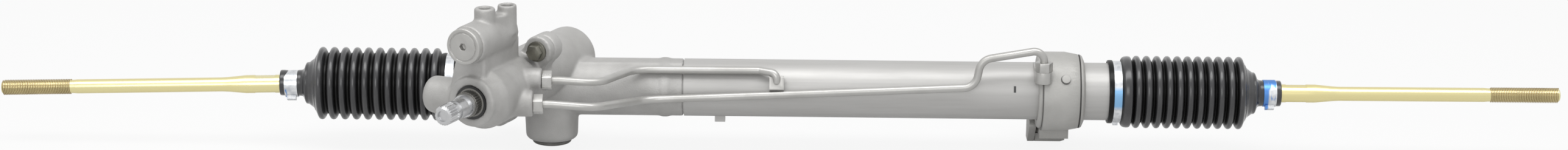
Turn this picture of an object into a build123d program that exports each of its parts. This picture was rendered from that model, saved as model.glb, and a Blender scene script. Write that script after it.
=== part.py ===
from build123d import *
import math
import os

# Hydraulic power steering rack.
# Millimetres. X runs along the rack, Y away from the driver's input shaft, Z up.
# Shapes are drawn with the rack axis on X, then shifted so that the origin is
# the centre of the pinion-side mounting bore.

# ---------------------------------------------------------------- driving sizes
# Rack bar and its travel
RACK_DIA = 29.0
RACK_REST = -3.0            # the stored rack sits a little to the pinion side
SOCKET_BACK = 22.0          # inner face of each socket, behind the ball centre

# Rack teeth and pinion
MODULE = 2.2
PINION_TEETH = 9
HELIX = 24.5                # tilt of the pinion axis, and its helix angle
PRESSURE_ANGLE = 20.0
PINION_HEIGHT = 21.0        # pinion axis above the rack axis
MESH_X = -210.0
RACK_ADDENDUM = 0.65 * MODULE
RACK_DEDENDUM = 1.15 * MODULE
PINION_ADDENDUM = MODULE
BACKLASH = 0.12
ROOT_CLEAR = 0.35
RACK_TEETH = 27
PINION_FACE = 36.0          # toothed length along the pinion

# Running and sliding clearances, radial
RUN = 0.05
SOFT = 0.3
PINION_CLEAR = 0.9           # housing cavity round the pinion teeth

# Rack housing (cast) and cylinder tube
TUBE_R = 26.0
HOUSING_BORE_R = 17.0
TUBE_END = 316.0            # both tube ends, from the middle
JOINT_X = -90.0             # cast housing meets the cylinder tube
SPIGOT_STEP = 1.5
SPIGOT_LEN = 15.0
TUBE_WALL = 3.0
BEAD_RISE = 1.0
BEAD_X = (-110.5, -104.0)
PARTING_ANGLE = 72.0         # cast parting line along the top of the housing
PARTING = (1.6, 0.7)
PISTON_X = 113.0            # from the rack middle
PISTON_LEN = 24.0
RING_LEN = 3.0
RING_DEPTH = 2.5
CYL_LEFT = -80.0            # cylinder chamber ends
CYL_RIGHT = 246.0
SEAL_LEN = 12.0

# Pinion tower: s is measured along the pinion axis towards the input end
TOWER_R = 26.5
TOWER_BACK = -40.0
FLANGE_S = 58.0             # joint of the rack housing and the valve housing
EAR_R = 13.5
EAR_RADIUS = 37.5
EAR_ANGLES = (53.0, 237.0)
EAR_BACK = 14.0
EAR_FRONT = 9.0
EAR_ROOT = 25.0              # width of the ear where it leaves the tower
SPOT_LEN = 14.0              # spot-faced room for each bolt head
BOLT_R = 4.0
BOLT_AF = 12.0
BOLT_HEAD = 6.0
WASHER_R = 9.0
WASHER_T = 2.2
BEARING_LOW_R = 15.0
BEARING_LOW_S = (-36.0, -20.0)
BEARING_UP_R = 20.0
BEARING_UP_S = (24.0, 38.0)
CAP_R = 17.0
JOURNAL_R = 9.0
HEAD_R = 11.0
SLEEVE_R = 17.0
SLEEVE_S = (50.0, 118.0)
SHAFT_R = 10.0
SHAFT_TIP_R = 8.7
SHAFT_START = 60.5
SHAFT_STEP = 162.0
SHAFT_TIP = 193.0
TORSION_R = 2.6
NEEDLE_R = 15.0
NEEDLE_S = (126.0, 138.0)
SEAL_R = 14.7
SEAL_S = (140.5, 145.0)
FACE_S = 145.0
VALVE_R = 22.5
SHOULDER_BODY_R = 28.0
SHOULDER_S = (128.0, 140.0)

# Control valve above the input shaft
SPOOL_W = 52.5              # height of its axis above the pinion axis
SPOOL_BODY_R = 17.0
SPOOL_BODY_S = (87.0, 150.0)
SPOOL_R = 8.0
SPOOL_LEN = 26.0
SPOOL_BORE_S = 95.0
PLUG_R = 16.0
PLUG_HEAD = 7.0
PLUG_THREAD_R = 13.0
PLUG_THREAD = 10.0
PLUG_HEX_AF = 6.0
PORTS = ((1.3, 121.0, 79.5, 9.2, 5.0), (11.0, 99.0, 79.0, 8.4, 5.5))
PORT_PAD = 15.0
PORT_PAD_TOP = 72.0
PORT_DEPTH = 13.0
SENSOR_BOSS_R = 16.5
SENSOR_BOSS_W = -3.0
SENSOR_BOSS_N = -53.0
SENSOR_BOSS_S = 126.0

# Pressure tubes and their fittings
PIPE_R = 3.5
NUT_AF = 16.0
NUT_LEN = 8.6
NUT_THREAD_R = 6.0
NUT_THREAD = 8.0
FITTINGS = ((-211.8, -86.0, 29.0, 9.8, 1.4), (-218.7, -101.0, 11.5, 11.8, 0.6))

# Rack guide (yoke) under the pinion
YOKE_TOP_R = 25.3
YOKE_R = 23.4
YOKE_Z = -48.5
GUIDE_R = 16.0
GUIDE_TOP = -8.0
GUIDE_LEN = 28.0
GUIDE_PLUG_R = 17.6
GUIDE_PLUG_T = 4.0
GUIDE_PLUG_GAP = 0.6
GUIDE_PLUG_HEX_AF = 14.0

# Mounts
SLEEVE_BORE_R = 6.1
MOUNT_SLEEVE_R = 8.5
BUSH_R = 12.0
BOSS_R = 16.0
MOUNT_Y = 48.0
LEFT_MOUNT = (-256.0, -35.0, 15.0)      # x, lower face, upper face
RIGHT_MOUNT = (242.6, -57.0, 3.0)
COLLAR_X = (228.5, 270.5)
BAND_X = (232.5, 266.0)
BAND_RISE = 9.8
BAND_FLAT = 20.5            # of the band, before it tapers to the collar
COLLAR_RISE = 6.5
COLLAR_LIP_RISE = 7.6

# Tie rods: distances from the ball centre
BALL_R = 13.0
BALL_CENTRE = 411.0         # from the rack middle
SEAT_WALL = 1.95
SOCKET_R = 19.0
SOCKET_LIP = 8.0
SEAT_LIP = 6.5
SEAT_BACK = -11.0
ROD_NECK_R = 6.0
ROD_SEAT_X = 19.0
ROD_THICK_R = 8.2
ROD_THICK_END = 72.0
ROD_TAPER_END = 88.0
ROD_R = 6.4
FLATS_AF = 14.0
THREAD_R = 6.9
THREAD_START = 229.0
ROD_END = 293.6
LEFT_DROOP = 1.45           # degrees, outer end down
RIGHT_DROOP = -0.2

# Rack ends
STUD_R = 8.0                # threaded stud of each socket, in the rack's end
STUD_LEN = 18.0
LOCK_R = 16.0
LOCK_T = 1.5
FLAT_LEN = 12.0             # wrench flats behind the ball
SOCKET_AF = 34.0
FLATS_X = (46.0, 64.0)      # wrench flats on the tie rod

# Bellows
BOOT_BACK = 24.0            # of the boot's big end, behind the tube's end
BOOT_LIP = 2.8              # thickness on the tube, at the lip, groove, shoulder and folds
BOOT_GROOVE = 1.2
BOOT_SHOULDER = 6.4
PEAK_RISE = 7.0
VALLEY_RISE = 1.4
BOOT_WALL = 2.2
PEAK_COUNT = 11
FOLD_SHIFT = 2.3            # the free end's folds start this much further out
LAST_FOLD = 3.0             # of the last fold, outside the ball centre
NECK_OUT = 20.0             # of the neck, the small clamp and the end, from the ball centre
NECK_R = 11.2
SMALL_LIP_R = 11.6
NECK_PLAY = 1.0             # room for the tie rod's droop inside the neck
END_OUT = 41.0
BIG_CLAMP_BACK = (19.4, 11.8)
SMALL_CLAMP_OUT = (25.0, 36.5)
CLAMP_T = 0.7
CLAMP_LUG_ANGLE = -30.0

SHOULDER_R = 19.0           # small step of the cone
PEAK_FLAT = 1.3

# Castings: rounds, webs and bosses
EDGE_R = 2.0
TOWER_FILLET = 7.0
YOKE_CHAMFER = 2.6
BOSS_CHAMFER = 1.5
WEB_HALF = 9.0
WEB_HEIGHT = 26.0
WEB_S = (78.0, 139.0)
WEB_PROFILE = ((-25.0, 6.0), (10.0, 6.0), (11.0, 46.0), (-16.0, 46.0))
FITTING_LEN = 34.0
PORT_BORE_R = 2.2
TAB_X = -57.5               # small locating tab under the tube
TAB_LEN = 9.4
TAB_WIDE = 10.0
TAB_DROP = 5.0
RIB_X = 224.0
RIB_T = 6.0
FOOT_T = 7.5
DIMPLE_X = 252.3
DIMPLE_ANGLE = 32.5
DIMPLE_R = 3.8
DIMPLE_RISE = 1.6

# Valve and shaft details
SLEEVE_GROOVES = (66.0, 78.0, 90.0, 102.0)
SLEEVE_GROOVE = 5.0
GROOVE_LEN = 4.0
PINCH_S = 173.0
SPLINE_FROM = 179.0
COLLAR_SHAFT_R = 11.3
COLLAR_SHAFT_END = 153.0
SERRATION_COUNT = 30
SERRATION = 0.7
TIP_CHAMFER = 2.0
SPLINE_COUNT = 24
SPLINE_CUT = 1.3
FLUTE_COUNT = 6
FLUTE_S = (76.0, 104.0)
TORSION_END = 184.0
SPOOL_START = 113.0
SPRING_WIRE = 1.0
GUIDE_POCKET = 18.0

# Brazed unions on the cylinder: angles are above the horizontal, at the front
UNION_LEFT_X = -6.5
UNION_ANGLE = 23.0
UNION_SIZE = (13.0, 13.0, 10.0)
UNION_RISE = 3.5
UNION_RIGHT = (232.0, 27.0)  # x and top
UNION_RIGHT_R = 7.4
UNION_RIGHT_LEN = 10.5
RIGHT_NUT_AF = 14.0

# Pressure tubes: bend radii
PIPE_LEFT_BENDS = (30.0, 22.0, 22.0, 6.0, 6.0)
PIPE_LIFT = 5.3             # of the pressure tubes' axes above the cylinder
PIPE_RIGHT_BENDS = (30.0, 22.0, 22.0, 13.0, 13.0, 9.0)

# ------------------------------------------------------------------ derived sizes
RACK_R = RACK_DIA / 2
THROUGH = 4 * TUBE_R        # long enough to cut right through
CYL_R = TUBE_R - TUBE_WALL
SPIGOT_R = TUBE_R - SPIGOT_STEP
BEAD_R = TUBE_R + BEAD_RISE
SOCKET_FACE = BALL_CENTRE - SOCKET_BACK
BOOT_LIP_R = TUBE_R + BOOT_LIP
BOOT_GROOVE_R = TUBE_R + BOOT_GROOVE
BOOT_SHOULDER_R = TUBE_R + BOOT_SHOULDER
PEAK_R = TUBE_R + PEAK_RISE
VALLEY_R = TUBE_R + VALLEY_RISE
BOOT_START = TUBE_END - BOOT_BACK
BIG_CLAMP = (TUBE_END - BIG_CLAMP_BACK[0], TUBE_END - BIG_CLAMP_BACK[1])
SMALL_CLAMP = (BALL_CENTRE + SMALL_CLAMP_OUT[0], BALL_CENTRE + SMALL_CLAMP_OUT[1])
NECK_START = BALL_CENTRE + NECK_OUT
BOOT_END = BALL_CENTRE + END_OUT
COLLAR_R = TUBE_R + COLLAR_RISE
COLLAR_LIP_R = TUBE_R + COLLAR_LIP_RISE
BAND_R = TUBE_R + BAND_RISE
UNION_CENTRE_R = TUBE_R + UNION_RISE
PIPE_LINE_R = TUBE_R + PIPE_LIFT
PITCH = math.pi * MODULE
TILT = math.radians(HELIX)
PITCH_R = PINION_TEETH * MODULE / (2 * math.cos(TILT))
PITCH_Z = PINION_HEIGHT - PITCH_R
TIP_Z = PITCH_Z + RACK_ADDENDUM
ROOT_Z = PITCH_Z - RACK_DEDENDUM
TIP_R = PITCH_R + PINION_ADDENDUM
SPRING_COIL_R = SPOOL_R - 1.6
SPOOL_SPRING_LEN = SPOOL_START - SPOOL_BORE_S - 2
GUIDE_SPRING_R = GUIDE_R - 7
GUIDE_SPRING_Z = YOKE_Z + 6
GUIDE_SPRING_LEN = GUIDE_TOP - GUIDE_LEN + GUIDE_POCKET - GUIDE_SPRING_Z
ORIGIN = Vector(LEFT_MOUNT[0], MOUNT_Y, (LEFT_MOUNT[1] + LEFT_MOUNT[2]) / 2)

FIRST_FITTING, SECOND_FITTING = (Vector(*f[:3]) for f in FITTINGS)
TUBE_TOP = Vector(0, -0.70 * PIPE_LINE_R, 0.714 * PIPE_LINE_R)
UNION_TOP = Vector(UNION_LEFT_X, -TUBE_R - UNION_RISE, 22.0)
PIPE_LEFT = (
    FIRST_FITTING - Vector(5, 0, 0),
    FIRST_FITTING + Vector(14, 0, 0),
    FIRST_FITTING + Vector(49, 0, -2),
    TUBE_TOP + Vector(-134, 0, -0.4),
    TUBE_TOP + Vector(-22, 0, 0),
    UNION_TOP,
    UNION_TOP - Vector(0, 0, 9),
)
FRONT_LINE = -PIPE_LINE_R - 0.2
PIPE_RIGHT = (
    SECOND_FITTING - Vector(4, 0, 0),
    SECOND_FITTING + Vector(14, 0, 0),
    SECOND_FITTING + Vector(53, 0, -2.6),
    Vector(-125, FRONT_LINE, -3.4),
    Vector(171, FRONT_LINE, 11.3),
    Vector(176, FRONT_LINE, 37),
    Vector(UNION_RIGHT[0], FRONT_LINE, UNION_RIGHT[1] + 20),
    Vector(UNION_RIGHT[0], FRONT_LINE, UNION_RIGHT[1] - 4),
)

PINION_FRAME = Plane(
    origin=(MESH_X, 0, PINION_HEIGHT),
    x_dir=(math.cos(TILT), -math.sin(TILT), 0),
    z_dir=(-math.sin(TILT), -math.cos(TILT), 0),
)

os.makedirs("parts", exist_ok=True)


# ----------------------------------------------------------------------- helpers
def save(name, *solids):
    moved = [Pos(-ORIGIN.X, -ORIGIN.Y, -ORIGIN.Z) * s for s in solids]
    shape = moved[0] if len(moved) == 1 else Compound(children=moved)
    export_step(shape, f"parts/{name}.step")


def cyl_x(radius, x0, x1, y=0.0, z=0.0):
    return Pos((x0 + x1) / 2, y, z) * Rot(0, 90, 0) * Cylinder(radius, x1 - x0)


def cyl_z(radius, z0, z1, x=0.0, y=0.0):
    return Pos(x, y, (z0 + z1) / 2) * Cylinder(radius, z1 - z0)


def ring_x(outer, inner, x0, x1):
    return cyl_x(outer, x0, x1) - cyl_x(inner, x0, x1)


def ring_z(outer, inner, z0, z1, x=0.0, y=0.0):
    return cyl_z(outer, z0, z1, x, y) - cyl_z(inner, z0, z1, x, y)


def turn_x(points):
    """A body turned about X from (x, radius) points."""
    return revolve(Plane.XY * make_face(Polyline(*points, close=True)), Axis.X)


def tower(shape):
    """Places a shape drawn about Z on the pinion axis."""
    return PINION_FRAME.location * shape


def hexagon(across_flats, height):
    return extrude(RegularPolygon(across_flats / math.sqrt(3), 6), height)


def radial(x, angle, radius):
    """A place round the tube, its Z pointing outwards; angle is above the front."""
    a = math.radians(angle)
    return Pos(x, -radius * math.cos(a), radius * math.sin(a)) * Rot(90 - angle, 0, 0)


def along_x(shape):
    """Turns a shape drawn up Z so that it points along X."""
    return Rot(0, 90, 0) * shape


# -------------------------------------------------------------------- rack and pinion
def rack_bar():
    bar = cyl_x(RACK_R, RACK_REST - SOCKET_FACE, RACK_REST + SOCKET_FACE)
    for side in (-1, 1):
        face = RACK_REST + side * SOCKET_FACE
        bar -= cyl_x(STUD_R, *sorted((face, face - side * (STUD_LEN + 2))))
    flat_len = (RACK_TEETH + 0.5) * PITCH
    flat = Pos(MESH_X, 0, TIP_Z + RACK_R) * Box(flat_len, 2 * RACK_DIA, 2 * RACK_R)
    bar -= flat
    lean = math.tan(math.radians(PRESSURE_ANGLE))
    half_pitch_line = PITCH / 4 + BACKLASH / 2
    half_top = half_pitch_line + (RACK_ADDENDUM + 1) * lean
    half_root = half_pitch_line - RACK_DEDENDUM * lean
    gap = Polyline(
        (-half_root, ROOT_Z),
        (half_root, ROOT_Z),
        (half_top, TIP_Z + 1),
        (-half_top, TIP_Z + 1),
        close=True,
    )
    cutter = extrude(Plane.XZ * make_face(gap), RACK_DIA, both=True)
    first = -(RACK_TEETH - 1) / 2
    cutters = [Pos(MESH_X + (first + i) * PITCH, 0, 0) * cutter for i in range(RACK_TEETH)]
    return bar - cutters


def pinion_section():
    """One transverse section of the pinion, a tooth pointing down."""
    angle_t = math.atan(math.tan(math.radians(PRESSURE_ANGLE)) / math.cos(TILT))
    base_r = PITCH_R * math.cos(angle_t)
    inv_t = math.tan(angle_t) - angle_t
    half_at_pitch = math.pi / (2 * PINION_TEETH) - BACKLASH / (2 * PITCH_R)
    root_r = PITCH_R - RACK_ADDENDUM - ROOT_CLEAR

    def half_angle(radius):
        a = math.acos(min(1.0, base_r / radius))
        return half_at_pitch + inv_t - (math.tan(a) - a)

    def at(radius, angle):
        return (radius * math.sin(angle), -radius * math.cos(angle))

    middle_r = (base_r + TIP_R) / 2
    tooth_step = 2 * math.pi / PINION_TEETH
    edges = []
    for k in range(PINION_TEETH):
        c = k * tooth_step
        base_a = half_angle(base_r)
        tip_a = half_angle(TIP_R)
        mid_a = half_angle(middle_r)
        up = [at(base_r, c - base_a), at(middle_r, c - mid_a), at(TIP_R, c - tip_a)]
        down = [at(TIP_R, c + tip_a), at(middle_r, c + mid_a), at(base_r, c + base_a)]
        root_in = at(root_r, c - base_a)
        root_out = at(root_r, c + base_a)
        next_in = at(root_r, c + tooth_step - base_a)
        edges.append(Line(root_in, up[0]))
        edges.append(ThreePointArc(*up))
        edges.append(ThreePointArc(up[2], at(TIP_R, c), down[0]))
        edges.append(ThreePointArc(*down))
        edges.append(Line(down[2], root_out))
        edges.append(ThreePointArc(root_out, at(root_r, c + tooth_step / 2), next_in))
    return make_face(Wire(edges))


def pinion_gear():
    twist = math.degrees(PINION_FACE * math.tan(TILT) / PITCH_R)
    start = Pos(0, 0, -PINION_FACE / 2) * Rot(0, 0, -twist / 2) * pinion_section()
    teeth = Solid.extrude_linear_with_rotation(
        start.face(),
        center=(0, 0, -PINION_FACE / 2),
        normal=(0, 0, PINION_FACE),
        angle=twist,
    )
    body = cyl_z(JOURNAL_R, BEARING_LOW_S[0], BEARING_UP_S[1])
    head = cyl_z(HEAD_R, BEARING_UP_S[1], SHAFT_START - 1.5)
    bore = cyl_z(TORSION_R, BEARING_UP_S[0], FACE_S)
    return tower(Part() + teeth + body + head - bore)


def bearing(outer, inner, span):
    """A closed bearing: a ring with a shallow cage groove on each face."""
    mid = (outer + inner) / 2
    ring = ring_z(outer, inner, *span)
    for face in span:
        groove = Pos(0, 0, face) * Torus(mid, (outer - inner) / 8)
        ring -= groove
    return tower(ring)


# -------------------------------------------------------------------------- housing
def ear_centre(angle):
    a = math.radians(angle)
    return EAR_RADIUS * math.cos(a), EAR_RADIUS * math.sin(a)


def ear(angle, s0, s1):
    root = Rot(0, 0, angle) * Pos(EAR_RADIUS / 2, 0, (s0 + s1) / 2)
    return cyl_z(EAR_R, s0, s1, *ear_centre(angle)) + root * Box(EAR_RADIUS, EAR_ROOT, s1 - s0)


def at_ears(radius, s0, s1):
    rods = Part()
    for angle in EAR_ANGLES:
        rods += cyl_z(radius, s0, s1, *ear_centre(angle))
    return rods


def mount_boss(x, z0, z1):
    boss = cyl_z(BOSS_R, z0, z1, x, MOUNT_Y)
    return chamfer(boss.edges().filter_by(GeomType.CIRCLE), BOSS_CHAMFER)


def rack_housing():
    tube = cyl_x(TUBE_R, -TUBE_END, JOINT_X)
    x0, x1 = BEAD_X
    bead = turn_x([(x0 - 1, TUBE_R - 1), (x0, BEAD_R), (x1, BEAD_R), (x1 + 1, TUBE_R - 1)])
    line_mid = (MESH_X + TOWER_R + JOINT_X) / 2
    line = Box(JOINT_X - MESH_X - TOWER_R, PARTING[0], 2 * PARTING[1])
    bead += radial(line_mid, PARTING_ANGLE, TUBE_R) * line
    tower_body = cyl_z(TOWER_R, TOWER_BACK, FLANGE_S)
    tower_body = fillet(tower_body.edges().group_by(Axis.Z)[0], TOWER_FILLET)
    for angle in EAR_ANGLES:
        tower_body += ear(angle, FLANGE_S - EAR_BACK, FLANGE_S)
    yoke = Pos(MESH_X, 0, YOKE_Z / 2) * Rot(180, 0, 0) * Cone(YOKE_TOP_R, YOKE_R, -YOKE_Z)
    yoke = chamfer(yoke.edges().group_by(Axis.Z)[0], YOKE_CHAMFER)
    x, z0, z1 = LEFT_MOUNT
    web = Pos(x, MOUNT_Y / 2, 0) * Box(2 * WEB_HALF, MOUNT_Y, WEB_HEIGHT)
    body = tube + bead + tower(tower_body) + yoke + mount_boss(x, z0, z1) + web
    body -= cyl_x(HOUSING_BORE_R, -TUBE_END - 1, JOINT_X + 1)
    body -= cyl_x(SPIGOT_R, JOINT_X - SPIGOT_LEN, JOINT_X + 1)
    cavity = cyl_z(TIP_R + PINION_CLEAR, BEARING_LOW_S[1], BEARING_UP_S[0])
    cavity += cyl_z(BEARING_LOW_R, *BEARING_LOW_S)
    cavity += cyl_z(CAP_R, TOWER_BACK - 1, BEARING_LOW_S[0])
    cavity += cyl_z(BEARING_UP_R, BEARING_UP_S[0], FLANGE_S + 1)
    body -= tower(cavity)
    body -= tower(at_ears(BOLT_R, FLANGE_S - EAR_BACK - 1, FLANGE_S + 1))
    body -= cyl_z(GUIDE_R + RUN, YOKE_Z - 1, GUIDE_TOP + 4, MESH_X)
    body -= cyl_z(BUSH_R, z0 - 1, z1 + 1, x, MOUNT_Y)
    return body


def cylinder_tube():
    tube = cyl_x(TUBE_R, JOINT_X, TUBE_END)
    tube += cyl_x(SPIGOT_R, JOINT_X - SPIGOT_LEN, JOINT_X)
    tube += Pos(TAB_X, 0, -TUBE_R - TAB_DROP / 2 + 1) * Box(TAB_LEN, TAB_WIDE, TAB_DROP + 2)
    tube -= cyl_x(CYL_R, JOINT_X - SPIGOT_LEN - 1, TUBE_END + 1)
    tube -= radial(UNION_LEFT_X, UNION_ANGLE, TUBE_R) * cyl_z(PORT_BORE_R, -8, 8)
    return tube


def valve_housing():
    lower = cyl_z(VALVE_R, FLANGE_S, FACE_S)
    lower = fillet(lower.edges().group_by(Axis.Z)[-1], EDGE_R)
    s0, s1 = SHOULDER_S
    lower += cyl_z(SHOULDER_BODY_R, FLANGE_S, s0)
    lower += Pos(0, 0, (s0 + s1) / 2) * Cone(SHOULDER_BODY_R, VALVE_R, s1 - s0)
    for angle in EAR_ANGLES:
        lower += ear(angle, FLANGE_S, FLANGE_S + EAR_FRONT)
    upper = Pos(0, SPOOL_W, 0) * cyl_z(SPOOL_BODY_R, *SPOOL_BODY_S)
    upper = fillet(upper.edges().group_by(Axis.Z)[0], EDGE_R * 2)
    (n0, s0), (n1, s1) = (port[:2] for port in PORTS)
    pad = Box(PORT_PAD, PORT_PAD_TOP - SPOOL_W, math.hypot(n1 - n0, s1 - s0))
    pad = Rot(0, math.degrees(math.atan2(n0 - n1, s0 - s1)), 0) * pad
    upper += Pos((n0 + n1) / 2, (PORT_PAD_TOP + SPOOL_W) / 2, (s0 + s1) / 2) * pad
    web_face = Polyline(*WEB_PROFILE, close=True)
    web = Pos(0, 0, WEB_S[0]) * extrude(make_face(web_face), WEB_S[1] - WEB_S[0])
    body = lower + upper + web
    for n, s, top, radius, _ in PORTS:
        horn = Pos(n, 0, s) * Rot(-90, 0, 0) * cyl_z(radius, SPOOL_W, top)
        horn = fillet(horn.edges().group_by(Axis.Y)[-1], 1.0)
        body += horn
    side = Pos(0, SENSOR_BOSS_W, SENSOR_BOSS_S) * Rot(0, -90, 0) * cyl_z(SENSOR_BOSS_R, 0, -SENSOR_BOSS_N)
    side = fillet(side.edges().group_by(Axis.X)[0], SENSOR_BOSS_R * 0.45)
    body = tower(body + side)
    for x, y, z, radius, lift in FITTINGS:
        boss = cyl_x(radius, x - FITTING_LEN, x, y, z + lift)
        body += fillet(boss.edges().group_by(Axis.X)[-1], EDGE_R / 2)
    bores = cyl_z(SLEEVE_R + RUN, FLANGE_S - 1, NEEDLE_S[0] - 2)
    bores += cyl_z(NEEDLE_R, NEEDLE_S[0] - 2, NEEDLE_S[1] + 1)
    bores += cyl_z(SHAFT_R + 2, NEEDLE_S[1], FACE_S + 1)
    bores += cyl_z(SEAL_R, SEAL_S[0], FACE_S + 1)
    spool_bore = cyl_z(SPOOL_R + RUN, SPOOL_BORE_S, SPOOL_BODY_S[1] + 1)
    spool_bore += cyl_z(PLUG_THREAD_R, SPOOL_BODY_S[1] - PLUG_THREAD, SPOOL_BODY_S[1] + 1)
    bores += Pos(0, SPOOL_W, 0) * spool_bore
    for n, s, top, _, bore in PORTS:
        down = Pos(n, 0, s) * Rot(-90, 0, 0)
        bores += down * cyl_z(bore, top - PORT_DEPTH, top + 1)
        bores += down * cyl_z(PORT_BORE_R, SPOOL_W, top)
    bores += at_ears(BOLT_R, FLANGE_S - 1, FLANGE_S + EAR_FRONT + 1)
    bores += at_ears(WASHER_R + 1, FLANGE_S + EAR_FRONT, FLANGE_S + EAR_FRONT + SPOT_LEN)
    body -= tower(bores)
    for x, y, z, _, _ in FITTINGS:
        body -= cyl_x(NUT_THREAD_R, x - NUT_THREAD, x + 1, y, z)
        body -= cyl_x(PORT_BORE_R, x - FITTING_LEN, x, y, z)
    return body


def flange_bolts():
    bolts = []
    for angle in EAR_ANGLES:
        head_s = FLANGE_S + EAR_FRONT
        shank = cyl_z(BOLT_R, FLANGE_S - EAR_BACK + 1, head_s)
        washer = cyl_z(WASHER_R, head_s, head_s + WASHER_T)
        head = Pos(0, 0, head_s + WASHER_T) * hexagon(BOLT_AF, BOLT_HEAD)
        bolts.append(tower(Pos(*ear_centre(angle), 0) * (shank + washer + head)))
    return bolts


# ------------------------------------------------------------------- input and valve
def valve_sleeve():
    sleeve = ring_z(SLEEVE_R, HEAD_R + RUN, SHAFT_START, SLEEVE_S[1])
    sleeve += ring_z(SLEEVE_R, HEAD_R, SLEEVE_S[0], SHAFT_START)
    for s in SLEEVE_GROOVES:
        sleeve -= ring_z(SLEEVE_R + 1, SLEEVE_R - 1.5, s, s + SLEEVE_GROOVE)
    return tower(sleeve)


def input_shaft():
    shaft = cyl_z(HEAD_R, SHAFT_START, SLEEVE_S[1])
    shaft += cyl_z(SHAFT_R, SLEEVE_S[1], SHAFT_STEP - GROOVE_LEN)
    collar_s = (SEAL_S[1] + SOFT, COLLAR_SHAFT_END)
    collar = cyl_z(COLLAR_SHAFT_R, *collar_s)
    for k in range(SERRATION_COUNT):
        cut = Pos(COLLAR_SHAFT_R, 0, sum(collar_s) / 2) * Rot(0, 0, 45)
        cut *= Box(SERRATION, SERRATION, collar_s[1] - collar_s[0] + 1)
        collar -= Rot(0, 0, 360 * k / SERRATION_COUNT) * cut
    shaft += collar
    shaft += cyl_z(SHAFT_TIP_R - 0.9, SHAFT_STEP - GROOVE_LEN, SHAFT_STEP)
    tip = cyl_z(SHAFT_TIP_R, SHAFT_STEP, SHAFT_TIP)
    tip = chamfer(tip.edges().group_by(Axis.Z)[-1], TIP_CHAMFER)
    tip -= ring_z(SHAFT_TIP_R + 1, SHAFT_TIP_R - 1.0, PINCH_S, PINCH_S + GROOVE_LEN)
    notch = Pos(SHAFT_TIP_R, 0, (SPLINE_FROM + SHAFT_TIP + 1) / 2) * Rot(0, 0, 45)
    notch *= Box(SPLINE_CUT, SPLINE_CUT, SHAFT_TIP + 1 - SPLINE_FROM)
    for k in range(SPLINE_COUNT):
        tip -= Rot(0, 0, 360 * k / SPLINE_COUNT) * notch
    shaft += tip
    for k in range(FLUTE_COUNT):
        flute = Rot(0, 0, 360 * k / FLUTE_COUNT) * Pos(HEAD_R, 0, sum(FLUTE_S) / 2)
        shaft -= flute * Box(2.4, 4.0, FLUTE_S[1] - FLUTE_S[0])
    shaft -= cyl_z(TORSION_R + 0.4, SHAFT_START - 1, TORSION_END + 1)
    shaft -= cyl_z(TORSION_R + 2.2, SHAFT_TIP - 2, SHAFT_TIP + 1)
    return tower(shaft)


def control_spool():
    spool = cyl_z(SPOOL_R, SPOOL_START, SPOOL_START + SPOOL_LEN)
    for k in range(3):
        s = SPOOL_START + 4 + 7.5 * k
        spool -= ring_z(SPOOL_R + 1, SPOOL_R - 2.5, s, s + 3.5)
    spool -= cyl_z(SPOOL_R - 3, SPOOL_START - 1, SPOOL_START + 3)
    return tower(Pos(0, SPOOL_W, 0) * spool)


def valve_plug():
    face = SPOOL_BODY_S[1]
    plug = cyl_z(PLUG_R, face, face + PLUG_HEAD)
    plug = fillet(plug.edges().group_by(Axis.Z)[-1], 1.2)
    plug += cyl_z(PLUG_THREAD_R, face - PLUG_THREAD, face)
    plug -= Pos(0, 0, face + PLUG_HEAD - 5) * hexagon(PLUG_HEX_AF, 6)
    rim = ring_z(PLUG_R - 3.0, PLUG_R - 4.0, face + PLUG_HEAD - 0.6, face + PLUG_HEAD + 1)
    return tower(Pos(0, SPOOL_W, 0) * (plug - rim))


def coil_spring(radius, wire, height, turns):
    helix = Helix(pitch=height / turns, height=height, radius=radius)
    section = Plane(origin=helix @ 0, z_dir=helix % 0) * RegularPolygon(wire, 6)
    return sweep(section, path=helix, is_frenet=True)


# --------------------------------------------------------------------- rack guide
def rack_guide():
    guide = cyl_z(GUIDE_R, GUIDE_TOP - GUIDE_LEN, GUIDE_TOP, MESH_X)
    guide -= cyl_x(RACK_R + RUN, MESH_X - 2 * GUIDE_R, MESH_X + 2 * GUIDE_R)
    spring_seat = GUIDE_TOP - GUIDE_LEN + GUIDE_POCKET
    return guide - cyl_z(GUIDE_R - 4, GUIDE_TOP - GUIDE_LEN - 1, spring_seat, MESH_X)


def guide_plug():
    plug = cyl_z(GUIDE_PLUG_R, YOKE_Z - GUIDE_PLUG_T, YOKE_Z - GUIDE_PLUG_GAP)
    plug = fillet(plug.edges().group_by(Axis.Z)[0], 1.8)
    plug += cyl_z(GUIDE_R, YOKE_Z - GUIDE_PLUG_GAP, YOKE_Z + 6)
    plug -= Pos(0, 0, YOKE_Z - GUIDE_PLUG_T - 1) * hexagon(GUIDE_PLUG_HEX_AF, 5)
    return Pos(MESH_X, 0, 0) * plug


# ------------------------------------------------------------------- tie rod joints
def to_ball(side, shape):
    """Places a shape drawn from the ball centre, outwards along X."""
    turn = Rot(0, 0, 0 if side > 0 else 180)
    return Pos(RACK_REST + side * BALL_CENTRE, 0, 0) * turn * shape


def to_rod(side, shape):
    droop = RIGHT_DROOP if side > 0 else LEFT_DROOP
    return to_ball(side, Rot(0, droop, 0) * shape)


def socket_joint(side):
    back = SOCKET_FACE + LOCK_T - BALL_CENTRE
    body = cyl_x(SOCKET_R, back, SOCKET_LIP)
    body = chamfer(body.edges().group_by(Axis.X)[-1], 2.0)
    flats = Pos(back + FLAT_LEN / 2, 0, 0) * Box(FLAT_LEN, 3 * SOCKET_R, 3 * SOCKET_R)
    flats -= Pos(back + FLAT_LEN / 2, 0, 0) * Box(FLAT_LEN + 1, 3 * SOCKET_R, SOCKET_AF)
    body -= flats
    body -= Sphere(BALL_R + RUN + SEAT_WALL + RUN)
    body += cyl_x(STUD_R, back - LOCK_T - STUD_LEN, back)
    return to_ball(side, body)


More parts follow.
